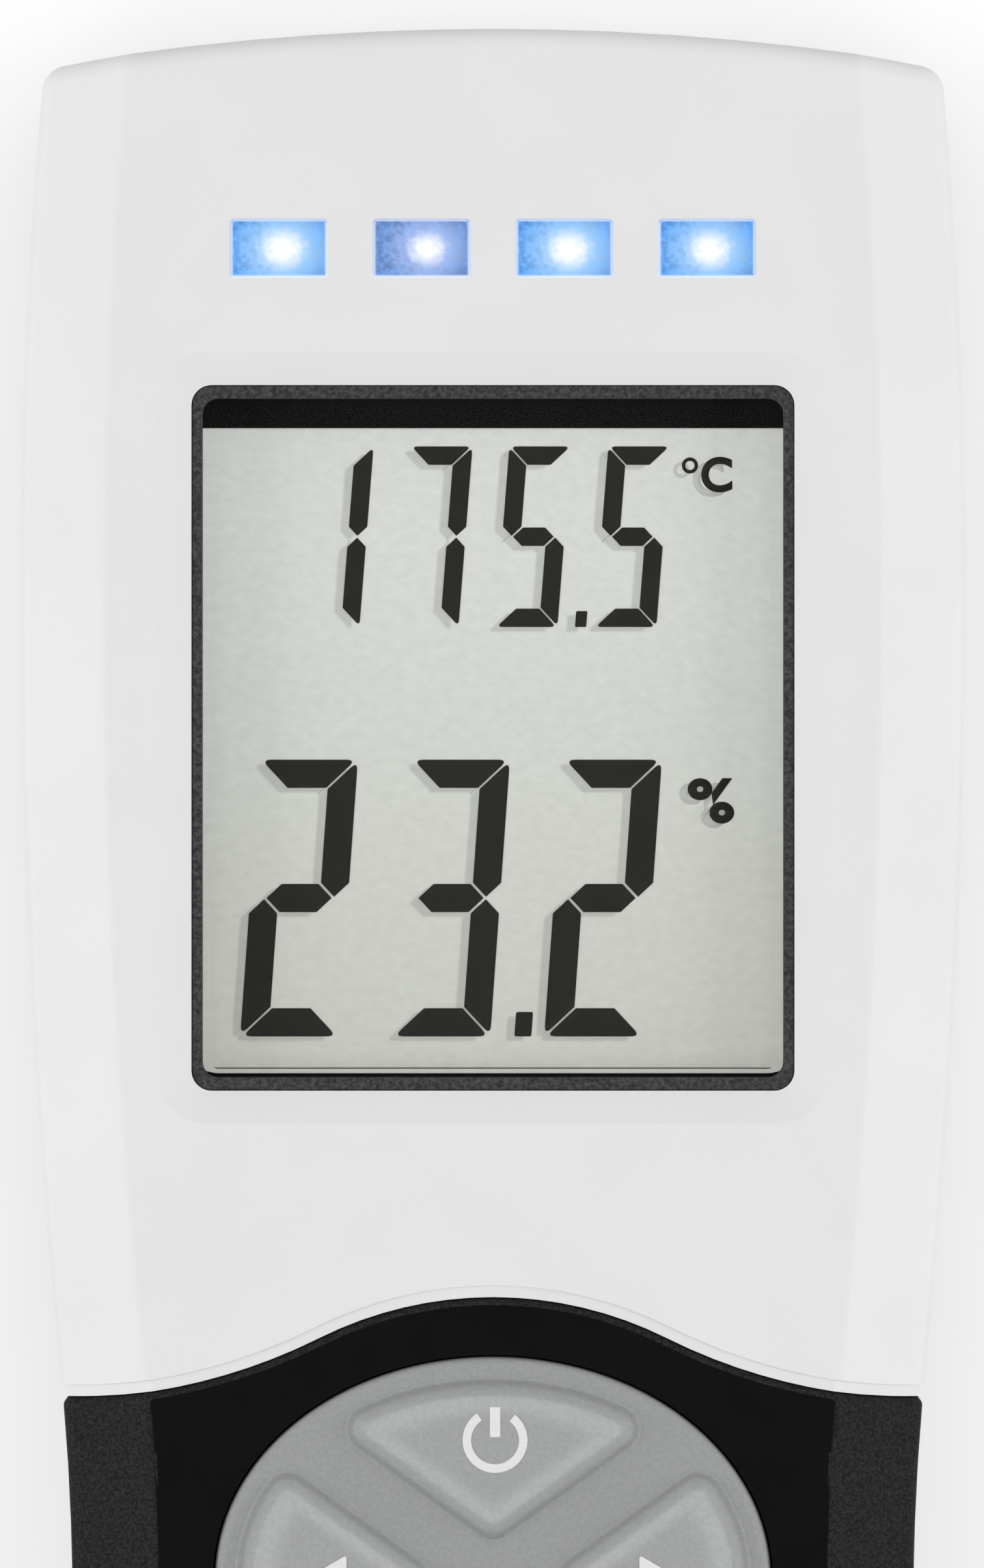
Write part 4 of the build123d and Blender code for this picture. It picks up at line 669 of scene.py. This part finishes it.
def chip_finish():
    """Dark chip body with tinned leads outside it."""
    finish = Finish("controller chip")
    local = finish.place(centre=(*middle_of("controller_chip"), 0))
    out_x = finish.maths("ABSOLUTE", finish.axis(local, "X"))
    out_y = finish.maths("ABSOLUTE", finish.axis(local, "Y"))
    body_reach = 5.01 * MM
    lead = finish.maths("GREATER_THAN", finish.maths("MAXIMUM", out_x, out_y), body_reach)
    mottle = finish.noise(0.2 * MM)
    body = finish.blend(finish.spread(mottle), (0.012, 0.012, 0.013), (0.02, 0.02, 0.021))
    finish.base(
        Base_Color=finish.blend(lead, body, (0.62, 0.62, 0.6)),
        Metallic=lead,
        Roughness=finish.spread(mottle, 0.4, 0.5),
        Normal=finish.bump(mottle, 0.01 * MM, 0.5),
    )
    return finish


def cell_sleeve(name, node, nub_up):
    """Battery sleeve in two plain colours with bare metal ends."""
    finish = Finish(name)
    low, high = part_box(node)
    length = high[1] - low[1]
    direction = 1 if nub_up else -1
    along = finish.axis(finish.place(centre=(0, (low[1] + high[1]) / 2, 0)), "Y")
    along = finish.maths("MULTIPLY", along, direction)
    copper = finish.ramp(along, length * 0.22, length * 0.23)
    bare = finish.maths("ABSOLUTE", along)
    bare = finish.ramp(bare, length / 2 - 1.3 * MM, length / 2 - 1.2 * MM)
    band = finish.blend(copper, (0.03, 0.032, 0.036), (0.62, 0.36, 0.16))
    scratches = finish.noise(0.3 * MM, 3.0, vector=finish.place(scale=(1, 6, 1)))
    finish.base(
        Base_Color=finish.blend(bare, band, (0.7, 0.7, 0.68)),
        Metallic=finish.maths("MAXIMUM", bare, finish.maths("MULTIPLY", copper, 0.6)),
        Roughness=finish.spread(scratches, 0.25, 0.36),
        Normal=finish.bump(scratches, 0.008 * MM, 0.4),
    )
    return finish


class OBJECT_OT_oil_tester_inside(bpy.types.Operator):
    """Finish the circuit board, the battery bay and the fasteners"""
    bl_idname = "object.oil_tester_inside"
    bl_label = "Inside and battery bay"

    def execute(self, context):
        dress(board_resist(), "main_board")
        dress(chip_finish(), "controller_chip")
        dress(plain_plastic("connector nylon", (0.74, 0.71, 0.6), 0.5, 0.3), "board_connector")
        dress(cell_sleeve("battery sleeve head", "battery_cell_1", True), "battery_cell_1")
        dress(cell_sleeve("battery sleeve nose", "battery_cell_2", False), "battery_cell_2")
        nickel = brushed_metal("nickel plated contacts", (0.68, 0.66, 0.61), 0.28, 0.3 * MM)
        dress(nickel, "battery_contact_positive", "battery_contact_negative", "battery_bridge",
              "battery_springs")
        zinc = brushed_metal("zinc plated screws", (0.52, 0.53, 0.55), 0.35, 0.25 * MM)
        dress(zinc, "case_screws", "board_screws")
        return {"FINISHED"}


class OBJECT_OT_oil_tester_probe(bpy.types.Operator):
    """Finish the steel probe, its sensor and its cable"""
    bl_idname = "object.oil_tester_probe"
    bl_label = "Probe and sensor"

    def execute(self, context):
        tube = brushed_metal("brushed tube steel", (0.66, 0.66, 0.65), 0.3, 0.25 * MM, (1, 30, 1))
        dress(tube, "probe_tube")
        guard = brushed_metal("guard steel", (0.6, 0.59, 0.57), 0.34, 0.25 * MM, (1, 6, 1), 0.16)
        dress(guard, "sensor_guard", "probe_root")
        dress(plain_plastic("natural plug plastic", (0.62, 0.52, 0.34), 0.5, 0.3), "sensor_plug")
        ceramic = plain_plastic("fired ceramic", (0.82, 0.8, 0.75), 0.45, 0.4, 0.2 * MM, 0.04)
        dress(ceramic, "sensor_plate")
        dress(brushed_metal("electrode gold", (0.86, 0.62, 0.3), 0.3, 0.2 * MM), "electrode_combs")
        dress(plain_plastic("glazed bead", (0.06, 0.16, 0.2), 0.25, 0.5), "temperature_sensor")
        dress(plain_plastic("cable jacket", (0.68, 0.67, 0.62), 0.55, 0.25), "sensor_cable")
        return {"FINISHED"}


# Display figures

def clear_selection():
    bpy.ops.object.select_all(action="DESELECT")


def pick(piece):
    """Select one object and make it the active one."""
    clear_selection()
    piece.select_set(True)
    bpy.context.view_layer.objects.active = piece


def start_editing():
    """Edit the active object's mesh with all of it selected."""
    bpy.ops.object.mode_set(mode="EDIT")
    bpy.ops.mesh.select_all(action="SELECT")


def stop_editing():
    bpy.ops.object.mode_set(mode="OBJECT")


def flat_bar(outer, inner, thickness, corner):
    """A bar along X whose upper edge is the outer one: a plane with its lower edge drawn in."""
    clear_selection()
    bpy.ops.mesh.primitive_plane_add(size=1.0, location=(0, 0, 0))
    bar = bpy.context.object
    start_editing()
    bpy.ops.transform.resize(value=(outer, thickness, 1.0))
    select_points(bar, lambda point: point.y < 0)
    bpy.ops.transform.resize(value=(inner / outer, 1.0, 1.0))
    select_points(bar, lambda point: point.y > 0)
    bpy.ops.mesh.bevel(offset=corner, segments=3, affect="VERTICES")
    stop_editing()
    return bar


def select_points(piece, wanted):
    """In edit mode, select the points of a mesh that meet a test."""
    mesh = bmesh.from_edit_mesh(piece.data)
    for point in mesh.verts:
        point.select_set(wanted(point.co))
    mesh.select_flush_mode()
    bmesh.update_edit_mesh(piece.data)


def select_faces(piece, wanted):
    """In edit mode, select the faces whose middle meets a test."""
    mesh = bmesh.from_edit_mesh(piece.data)
    for face in mesh.faces:
        face.select_set(wanted(face.calc_center_median()))
    mesh.select_flush_mode()
    bmesh.update_edit_mesh(piece.data)


def cut_off(point, normal):
    """In edit mode, cut along a plane and take away what the normal points to."""
    bpy.ops.mesh.select_all(action="SELECT")
    bpy.ops.mesh.bisect(
        plane_co=point, plane_no=normal, use_fill=False, clear_outer=True, clear_inner=False)


def middle_bar(length, thickness):
    """The six-sided middle bar: a plane whose ends are cut to points."""
    clear_selection()
    bpy.ops.mesh.primitive_plane_add(size=1.0, location=(0, 0, 0))
    bar = bpy.context.object
    start_editing()
    bpy.ops.transform.resize(value=(length, thickness, 1.0))
    for side in (1, -1):
        for edge in (1, -1):
            cut_off((side * length / 2, 0, 0), (side, edge, 0))
    stop_editing()
    return bar


def end_bar(length, thickness, corner):
    """A vertical bar: mitred at the outer end, cut to a point at the middle of the figure."""
    clear_selection()
    bpy.ops.mesh.primitive_plane_add(size=1.0, location=(0, 0, 0))
    bar = bpy.context.object
    start_editing()
    bpy.ops.transform.resize(value=(thickness, length, 1.0))
    cuts = (
        ((thickness / 2, length / 2, 0), (-1, 1, 0)),
        ((0, -length / 2, 0), (1, -1, 0)),
        ((0, -length / 2, 0), (-1, -1, 0)),
    )
    for point, normal in cuts:
        cut_off(point, normal)
    select_points(bar, lambda point: point.y > length / 2 - thickness * 0.1)
    bpy.ops.mesh.bevel(offset=corner, segments=3, affect="VERTICES")
    stop_editing()
    return bar


def moved_copy(piece, offset, flip_x=False, flip_y=False):
    """A copy of a piece with its own mesh, mirrored if asked and moved in its mesh."""
    mesh = piece.data.copy()
    scale = Matrix.Diagonal((-1 if flip_x else 1, -1 if flip_y else 1, 1, 1))
    mesh.transform(Matrix.Translation(Vector(offset)) @ scale)
    if flip_x != flip_y:
        mesh.flip_normals()
    twin = bpy.data.objects.new(piece.name, mesh)
    bpy.context.collection.objects.link(twin)
    return twin


def join_pieces(pieces, name):
    """Join objects into the first one."""
    clear_selection()
    for piece in pieces:
        piece.select_set(True)
    bpy.context.view_layer.objects.active = pieces[0]
    if len(pieces) > 1:
        bpy.ops.object.join()
    joined = bpy.context.object
    joined.name = name
    joined.data.name = name
    return joined


def figure_segments(height, width, thickness, gap):
    """The seven bars of one figure about its centre, in the order of SEGMENTS."""
    half_height = height / 2
    half_width = width / 2
    across = width - 2 * gap
    corner = thickness * SEGMENT_CORNER_SHARE
    top = flat_bar(across, across - 2 * thickness, thickness, corner)
    side = end_bar(half_height - 1.5 * gap, thickness, corner)
    centre = middle_bar(width - thickness - 3 * gap, thickness)
    level = half_height - thickness / 2
    side_x = half_width - thickness / 2
    side_y = half_height / 2
    bars = (
        moved_copy(top, (0, level, 0)),
        moved_copy(side, (-side_x, side_y, 0), flip_x=True),
        moved_copy(side, (side_x, side_y, 0)),
        moved_copy(centre, (0, 0, 0)),
        moved_copy(side, (-side_x, -side_y, 0), flip_x=True, flip_y=True),
        moved_copy(side, (side_x, -side_y, 0), flip_y=True),
        moved_copy(top, (0, -level, 0), flip_y=True),
    )
    for pattern in (top, side, centre):
        bpy.data.objects.remove(pattern)
    return bars


def lean(piece, slant, base_y):
    """Lean a row of figures to the right about its base line."""
    matrix = Matrix.Identity(4)
    matrix[0][1] = slant
    matrix[0][3] = -slant * base_y
    piece.data.transform(matrix)


def thicken(piece, depth):
    """Give a flat piece this depth downwards from its plane."""
    pick(piece)
    modifier = piece.modifiers.new("Depth", "SOLIDIFY")
    modifier.thickness = depth
    modifier.offset = -1.0
    bpy.ops.object.modifier_apply(modifier=modifier.name)


def reading_row(text, height, row):
    """Dark bars and decimal points of one row, as a list of flat pieces."""
    pieces = []
    count = sum(mark != "." for mark in text)
    first_x = row["right"] - (count - 1) * row["pitch"]
    centre_y = station(row["station"])
    bars = figure_segments(height, row["width"], row["bar"], row["gap"])
    column = -1
    for mark in text:
        if mark == ".":
            wide, high = row["point"]
            point_x = first_x + (column + 0.5) * row["pitch"] + row["point_shift"]
            point_y = centre_y - height / 2 + high / 2
            pieces.append(flat_block(point_x, point_y, wide, high, corner=wide * POINT_CORNER_SHARE))
            continue
        column += 1
        centre = (first_x + column * row["pitch"], centre_y, 0)
        for bar, lit in zip(bars, SEGMENTS[mark]):
            if lit:
                pieces.append(moved_copy(bar, centre))
    for bar in bars:
        bpy.data.objects.remove(bar)
    return pieces


def unit_sign(text, left, right, foot, head):
    """A unit sign from text, made a mesh and fitted between two X and two stations."""
    clear_selection()
    bpy.ops.object.text_add(location=(0, 0, 0))
    sign = bpy.context.object
    sign.data.body = text
    sign.data.offset = SIGN_BOLDNESS
    bpy.ops.object.convert(target="MESH")
    sign = bpy.context.object
    base_y = station(foot)
    low = [min(point.co[axis] for point in sign.data.vertices) for axis in (0, 1)]
    high = [max(point.co[axis] for point in sign.data.vertices) for axis in (0, 1)]
    scale_x = (right - left) / (high[0] - low[0])
    scale_y = (station(head) - base_y) / (high[1] - low[1])
    fit = Matrix.Diagonal((scale_x, scale_y, 1, 1))
    to_zero = Matrix.Translation((-low[0], -low[1], 0))
    sign.data.transform(Matrix.Translation((left, base_y, 0)) @ fit @ to_zero)
    return sign


def flat_ring(x, y, outer, inner, gap=0.0):
    """A flat ring, open at its top by this half angle: an inset disc without its middle."""
    clear_selection()
    bpy.ops.mesh.primitive_circle_add(
        vertices=96, radius=outer, fill_type="NGON", location=(0, 0, 0))
    ring = bpy.context.object
    start_editing()
    bpy.ops.mesh.inset(thickness=outer - inner)
    bpy.ops.mesh.delete(type="FACE")
    if gap:
        select_faces(ring, lambda face: abs(atan2(face.x, face.y)) < gap)
        bpy.ops.mesh.delete(type="FACE")
    stop_editing()
    ring.data.transform(Matrix.Translation((x, y, 0)))
    return ring


def flat_block(x, y, width, height, corner=0.0):
    """A flat upright block, its corners rounded if asked."""
    clear_selection()
    bpy.ops.mesh.primitive_plane_add(size=1.0, location=(0, 0, 0))
    plate = bpy.context.object
    start_editing()
    bpy.ops.transform.resize(value=(width, height, 1.0))
    bpy.ops.mesh.select_all(action="SELECT")
    if corner:
        bpy.ops.mesh.bevel(offset=corner, segments=2, affect="VERTICES")
    stop_editing()
    plate.data.transform(Matrix.Translation((x, y, 0)))
    return plate


def grow_faces(piece, distance):
    """Move the edges of every flat face outwards in its plane by this distance."""
    mesh = bmesh.new()
    mesh.from_mesh(piece.data)
    moves = []
    for face in mesh.faces:
        for loop in face.loops:
            reach = distance / max(sin(loop.calc_angle() / 2), 0.35)
            moves.append((loop.vert, loop.calc_tangent() * -reach))
    for point, move in moves:
        point.co += move
    mesh.to_mesh(piece.data)
    mesh.free()


def soft_shade(row, name, shift, blur):
    """A copy of flat figures, moved aside, whose faces fade out over a border if asked."""
    shade = moved_copy(row, (shift[0], shift[1], 0))
    shade.name = name
    shade.data.name = name
    if blur:
        grow_faces(shade, blur)
        pick(shade)
        start_editing()
        bpy.ops.mesh.inset(thickness=2 * blur, use_individual=True)
        stop_editing()
    mark_fade(shade, bool(blur))
    return shade


def mark_fade(shade, fades):
    """Write how dark the shade is at each point: nothing at its rim where it fades."""
    mesh = bmesh.new()
    mesh.from_mesh(shade.data)
    layer = mesh.verts.layers.float.new(SHADE_ATTRIBUTE)
    for point in mesh.verts:
        point[layer] = 0.0 if fades and point.is_boundary else 1.0
    mesh.to_mesh(shade.data)
    mesh.free()


class OBJECT_OT_oil_tester_figures(bpy.types.Operator):
    """Build the dark figures of both display rows with their soft shades"""
    bl_idname = "object.oil_tester_figures"
    bl_label = "Display figures"

    def execute(self, context):
        readings = context.scene.oil_tester_readings
        dark = segment_finish()
        shaded = display_surface("shaded display surface", shaded=True)
        upper = reading_row(readings.upper_text, readings.upper_height, UPPER_ROW)
        lower = reading_row(readings.lower_text, readings.lower_height, LOWER_ROW)
        degree = flat_ring(DEGREE_X, station(DEGREE_STATION), *DEGREE_RADII)
        celsius = unit_sign("C", *CELSIUS_EDGES)
        percent = unit_sign("%", *PERCENT_EDGES)
        groups = (
            ("upper_reading", upper, UPPER_ROW),
            ("lower_reading", lower, LOWER_ROW),
            ("temperature_unit", [degree, celsius], None),
            ("percent_unit", [percent], None),
        )
        for name, pieces, row in groups:
            group = join_pieces(pieces, name)
            if row:
                lean(group, row["lean"], station(row["station"]))
            border = SHADE_BORDER if row else 0.0
            shade = soft_shade(group, f"{name}_shade", readings.shade_shift, border)
            relief = readings.relief
            place_on_display(shade, shaded, relief * SHADE_LEVEL_SHARE, relief * SHADE_DEPTH_SHARE)
            place_on_display(group, dark, relief, relief * SEGMENT_DEPTH_SHARE)
        return {"FINISHED"}


def segment_finish():
    """Dark display segments."""
    colour = tuple(finishes().segment_dark)
    return plain_plastic("dark display segments", colour, 0.6, 0.05, 0.3 * MM, 0.1)


def place_on_display(piece, finish, height, depth):
    """Set a flat piece this high on the display and let it ride with the housing."""
    piece.data.transform(Matrix.Translation((0, 0, LCD_TOP + height)))
    thicken(piece, depth)
    coat(piece, finish)
    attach(piece, HOUSING_BODY)


# Keypad skin and its symbols

def key_outline(name):
    """The outline of a key as one flat face, cut from a copy of its solid."""
    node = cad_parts[f"{name}_key"]
    outline = bpy.data.objects.new(f"{name}_key_skin", node.data.copy())
    bpy.context.collection.objects.link(outline)
    pick(outline)
    level = MAT_TOP - SKIN_CUT_DEPTH
    start_editing()
    bpy.ops.mesh.remove_doubles(threshold=WELD_DISTANCE)
    cut_off((0, 0, level), (0, 0, 1))
    select_points(outline, lambda point: abs(point.z - level) > LEVEL_TOLERANCE)
    bpy.ops.mesh.delete(type="VERT")
    bpy.ops.mesh.select_all(action="SELECT")
    bpy.ops.mesh.remove_doubles(threshold=SKIN_EDGE_LENGTH * SKIN_MERGE_SHARE)
    bpy.ops.mesh.select_all(action="SELECT")
    bpy.ops.mesh.edge_face_add()
    bpy.ops.transform.translate(value=(0, 0, MAT_TOP + SKIN_LIP_HEIGHT - level))
    even_out(outline)
    stop_editing()
    return outline


def even_out(outline):
    """In edit mode, face an outline upwards and split its long edges."""
    for _ in range(6):
        mesh = bmesh.from_edit_mesh(outline.data)
        for face in mesh.faces:
            if face.normal.z < 0:
                face.normal_flip()
        long_edges = [edge for edge in mesh.edges if edge.calc_length() > SKIN_EDGE_LENGTH]
        if not long_edges:
            break
        bmesh.ops.subdivide_edges(mesh, edges=long_edges, cuts=1)
        bmesh.update_edit_mesh(outline.data)


def key_skin(name):
    """The soft raised skin over one key: a slope, a ridge near the rim and a shallow dish."""
    skin = key_outline(name)
    grow_faces(skin, SKIN_LIP_WIDTH)
    pick(skin)
    start_editing()
    for width, rise in SKIN_SLOPE:
        bpy.ops.mesh.inset(thickness=width * MM, depth=rise * MM)
    for share, rise in SKIN_DISH:
        bpy.ops.mesh.extrude_region_move(TRANSFORM_OT_translate={"value": (0, 0, rise * MM)})
        bpy.ops.transform.resize(value=(share, share, 1.0))
    bpy.ops.mesh.poke()
    stop_editing()
    bpy.ops.object.shade_smooth()
    return skin


def lay_on(piece, ground, lift):
    """Lay a flat piece on another from above, this far off it."""
    pick(piece)
    wrap = piece.modifiers.new("Lay", "SHRINKWRAP")
    wrap.target = ground
    wrap.wrap_method = "PROJECT"
    wrap.use_project_z = True
    wrap.use_negative_direction = True
    wrap.use_positive_direction = False
    wrap.offset = lift
    bpy.ops.object.modifier_apply(modifier=wrap.name)


def key_symbol(name):
    """The printed symbol of a key as a list of flat pieces."""
    middle = middle_of(f"{name}_key")
    if name == "power":
        centre_y = station(POWER_STATION)
        ring = flat_ring(POWER_X, centre_y, *POWER_RADII, POWER_GAP)
        bar = flat_block(POWER_X, centre_y + POWER_BAR_RISE, *POWER_BAR, 0.04 * MM)
        return [ring, bar]
    if name == "lower":
        return [flat_ring(*middle, *LOWER_RING_RADII)]
    return [triangle(*middle, 1 if name == "right" else -1)]


def triangle(x, y, direction):
    """A flat arrow head that points to the right (1) or the left (-1)."""
    clear_selection()
    bpy.ops.mesh.primitive_circle_add(
        vertices=3, radius=ARROW_RADIUS, fill_type="NGON", location=(0, 0, 0))
    arrow = bpy.context.object
    start_editing()
    bpy.ops.mesh.bevel(offset=ARROW_CORNER, segments=3, affect="VERTICES")
    stop_editing()
    turn = Matrix.Rotation(-direction * pi / 2, 4, "Z")
    arrow.data.transform(Matrix.Translation((x, y, 0)) @ turn)
    return arrow


class OBJECT_OT_oil_tester_key_skins(bpy.types.Operator):
    """Cover the keys with soft rubber skins and print their symbols"""
    bl_idname = "object.oil_tester_key_skins"
    bl_label = "Key skins and symbols"

    def execute(self, context):
        rubber = skin_rubber()
        light = tuple(finishes().print_light)
        ink = plain_plastic("key symbol print", light, 0.6, 0.1, 0.15 * MM, 0.03)
        dress(rubber, "keypad_mat")
        for name in KEY_NAMES:
            skin = key_skin(name)
            symbol = join_pieces(key_symbol(name), f"{name}_key_symbol")
            symbol.data.transform(Matrix.Translation((0, 0, KEY_TOP + 1 * MM)))
            lay_on(symbol, skin, SYMBOL_LIFT)
            thicken(symbol, SYMBOL_DEPTH)
            for piece, finish in ((skin, rubber), (symbol, ink)):
                coat(piece, finish)
                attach(piece, HOUSING_BODY)
                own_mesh(piece)
            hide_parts(f"{name}_key")
        return {"FINISHED"}


def skin_rubber():
    """Soft grey rubber with painted light: lighter on the raised keys, a painted shade at the foot
    of each key's slope and a painted highlight on the ridge near its rim.
    """
    grey = tuple(finishes().keypad_grey)
    finish = Finish("soft keypad rubber")
    height = finish.axis(finish.coordinates.outputs["Object"], "Z")
    # Painted light: the raised keys are made lighter than the pad, though both are one rubber.
    raised = finish.ramp(height, MAT_TOP + 0.1 * MM, MAT_TOP + 0.6 * MM)
    # Painted shade: a darker band in the valley at the foot of each key's slope.
    foot = finish.maths(
        "MULTIPLY",
        finish.ramp(height, MAT_TOP + 0.02 * MM, MAT_TOP + 0.12 * MM),
        finish.ramp(height, MAT_TOP + 0.15 * MM, MAT_TOP + 0.45 * MM, 1.0, 0.0))
    # Painted highlight: a lighter band on the ridge near each key's rim.
    ridge = finish.ramp(height, MAT_TOP + 0.68 * MM, MAT_TOP + 0.76 * MM)
    mottle = finish.noise(0.22 * MM, 4.0, roughness=0.65)
    shade = finish.blend(raised, grey, scaled(grey, 1.1))
    shade = finish.blend(foot, shade, scaled(grey, 0.84))
    shade = finish.blend(ridge, shade, scaled(grey, 1.32))
    grain = finish.ramp(mottle, 0.32, 0.68, 0.94, 1.05)
    finish.base(
        Base_Color=finish.blend(1.0, shade, finish.grey(grain), "MULTIPLY"),
        Roughness=0.72,
        Normal=finish.bump(mottle, 0.012 * MM, 0.5),
        Specular_IOR_Level=0.2,
    )
    return finish


# Studio

def pale_floor(studio):
    """Pale floor that photographs white and keeps the object's shadow."""
    finish = Finish("pale studio floor")
    cloud = finish.spread(finish.noise(0.2))
    colour = tuple(studio.floor_colour)
    finish.base(
        Base_Color=finish.tone(cloud, colour, 0.995, 1.005),
        Roughness=0.9,
        Emission_Color=(1.0, 1.0, 1.0),
        Specular_IOR_Level=0.0,
    )
    seen = seen_directly(finish)
    lift = finish.maths("MULTIPLY", seen, studio.floor_lift)
    finish.link(lift, finish.shader.inputs["Emission Strength"])
    return finish


def seen_directly(finish):
    """1 for what the camera sees, also by gloss and through glass, and 0 for light on surfaces."""
    path = finish.add("ShaderNodeLightPath")
    seen = finish.maths("MAXIMUM", path.outputs["Is Camera Ray"], path.outputs["Is Glossy Ray"])
    seen = finish.maths("MAXIMUM", seen, path.outputs["Is Transmission Ray"])
    undiffused = finish.maths("LESS_THAN", path.outputs["Diffuse Depth"], 0.5)
    return finish.maths("MULTIPLY", seen, undiffused)


def white_world(studio):
    """Even light from all round, seen as plain white."""
    world = bpy.context.scene.world or bpy.data.worlds.new("Studio")
    bpy.context.scene.world = world
    world.use_nodes = True
    sky = WorldFinish(world)
    strength = sky.ramp(seen_directly(sky), 0.0, 1.0, studio.sky, 1.0, smooth=False)
    sky.link(strength, sky.background.inputs["Strength"])


def soft_light(name, location, size, power):
    """A large light that faces the object."""
    clear_selection()
    bpy.ops.object.light_add(type="AREA", location=location)
    light = bpy.context.object
    light.name = name
    light.data.shape = "RECTANGLE"
    light.data.size = size[0]
    light.data.size_y = size[1]
    light.data.energy = power
    direction = Vector(AIM) - Vector(location)
    light.rotation_euler = direction.to_track_quat("-Z", "Y").to_euler()
    return light


class OBJECT_OT_oil_tester_studio(bpy.types.Operator):
    """Set up the floor, the lights, the white surroundings and the camera"""
    bl_idname = "object.oil_tester_studio"
    bl_label = "Studio"

    def execute(self, context):
        studio = context.scene.oil_tester_studio
        clear_selection()
        bpy.ops.mesh.primitive_plane_add(size=FLOOR_SIZE, location=(0, 0, 0))
        floor = context.object
        floor.name = "studio_floor"
        floor.data.materials.append(pale_floor(studio).material)
        white_world(studio)
        x, y, z = SIDE_LIGHT_PLACE
        for side, name in ((1, "right_light"), (-1, "left_light")):
            soft_light(name, (side * x, y, z), SIDE_LIGHT_SIZE, studio.side_power)
        soft_light("top_light", TOP_LIGHT_PLACE, TOP_LIGHT_SIZE, studio.top_power)
        distance = studio.frame_height * studio.lens / SENSOR_WIDTH
        clear_selection()
        place = (studio.frame_shift, station(studio.frame_station), studio.focus_level + distance)
        bpy.ops.object.camera_add(location=place, rotation=(0, 0, 0))
        camera = context.object
        camera.name = "photo_camera"
        camera.data.lens = studio.lens
        camera.data.clip_start = 0.01
        camera.data.clip_end = 20.0
        context.scene.camera = camera
        context.scene.view_settings.view_transform = "Standard"
        return {"FINISHED"}


OPERATORS = (
    OBJECT_OT_oil_tester_housing,
    OBJECT_OT_oil_tester_display,
    OBJECT_OT_oil_tester_keypad,
    OBJECT_OT_oil_tester_inside,
    OBJECT_OT_oil_tester_probe,
    OBJECT_OT_oil_tester_figures,
    OBJECT_OT_oil_tester_key_skins,
    OBJECT_OT_oil_tester_studio,
)


class VIEW3D_PT_oil_tester(bpy.types.Panel):
    """Sizes, colours and steps of the oil tester's dressing"""
    bl_idname = "VIEW3D_PT_oil_tester"
    bl_label = "Oil tester"
    bl_space_type = "VIEW_3D"
    bl_region_type = "UI"
    bl_category = "Oil tester"

    def draw(self, context):
        layout = self.layout
        for group in ("oil_tester_readings", "oil_tester_finishes", "oil_tester_studio"):
            settings = getattr(context.scene, group)
            box = layout.box()
            for key in settings.__annotations__:
                box.prop(settings, key)
        for operator in OPERATORS:
            layout.operator(operator.bl_idname)


def register():
    for group in GROUPS:
        bpy.utils.register_class(group)
    for operator in OPERATORS:
        bpy.utils.register_class(operator)
    bpy.utils.register_class(VIEW3D_PT_oil_tester)
    bpy.types.Scene.oil_tester_readings = PointerProperty(type=OilTesterReadings)
    bpy.types.Scene.oil_tester_finishes = PointerProperty(type=OilTesterFinishes)
    bpy.types.Scene.oil_tester_studio = PointerProperty(type=OilTesterStudio)


def unregister():
    del bpy.types.Scene.oil_tester_studio
    del bpy.types.Scene.oil_tester_finishes
    del bpy.types.Scene.oil_tester_readings
    bpy.utils.unregister_class(VIEW3D_PT_oil_tester)
    for operator in reversed(OPERATORS):
        bpy.utils.unregister_class(operator)
    for group in reversed(GROUPS):
        bpy.utils.unregister_class(group)


def main():
    register()
    bpy.ops.object.oil_tester_studio()
    bpy.ops.object.oil_tester_housing()
    bpy.ops.object.oil_tester_display()
    bpy.ops.object.oil_tester_keypad()
    bpy.ops.object.oil_tester_inside()
    bpy.ops.object.oil_tester_probe()
    bpy.ops.object.oil_tester_figures()
    bpy.ops.object.oil_tester_key_skins()


if __name__ == "__main__":
    main()
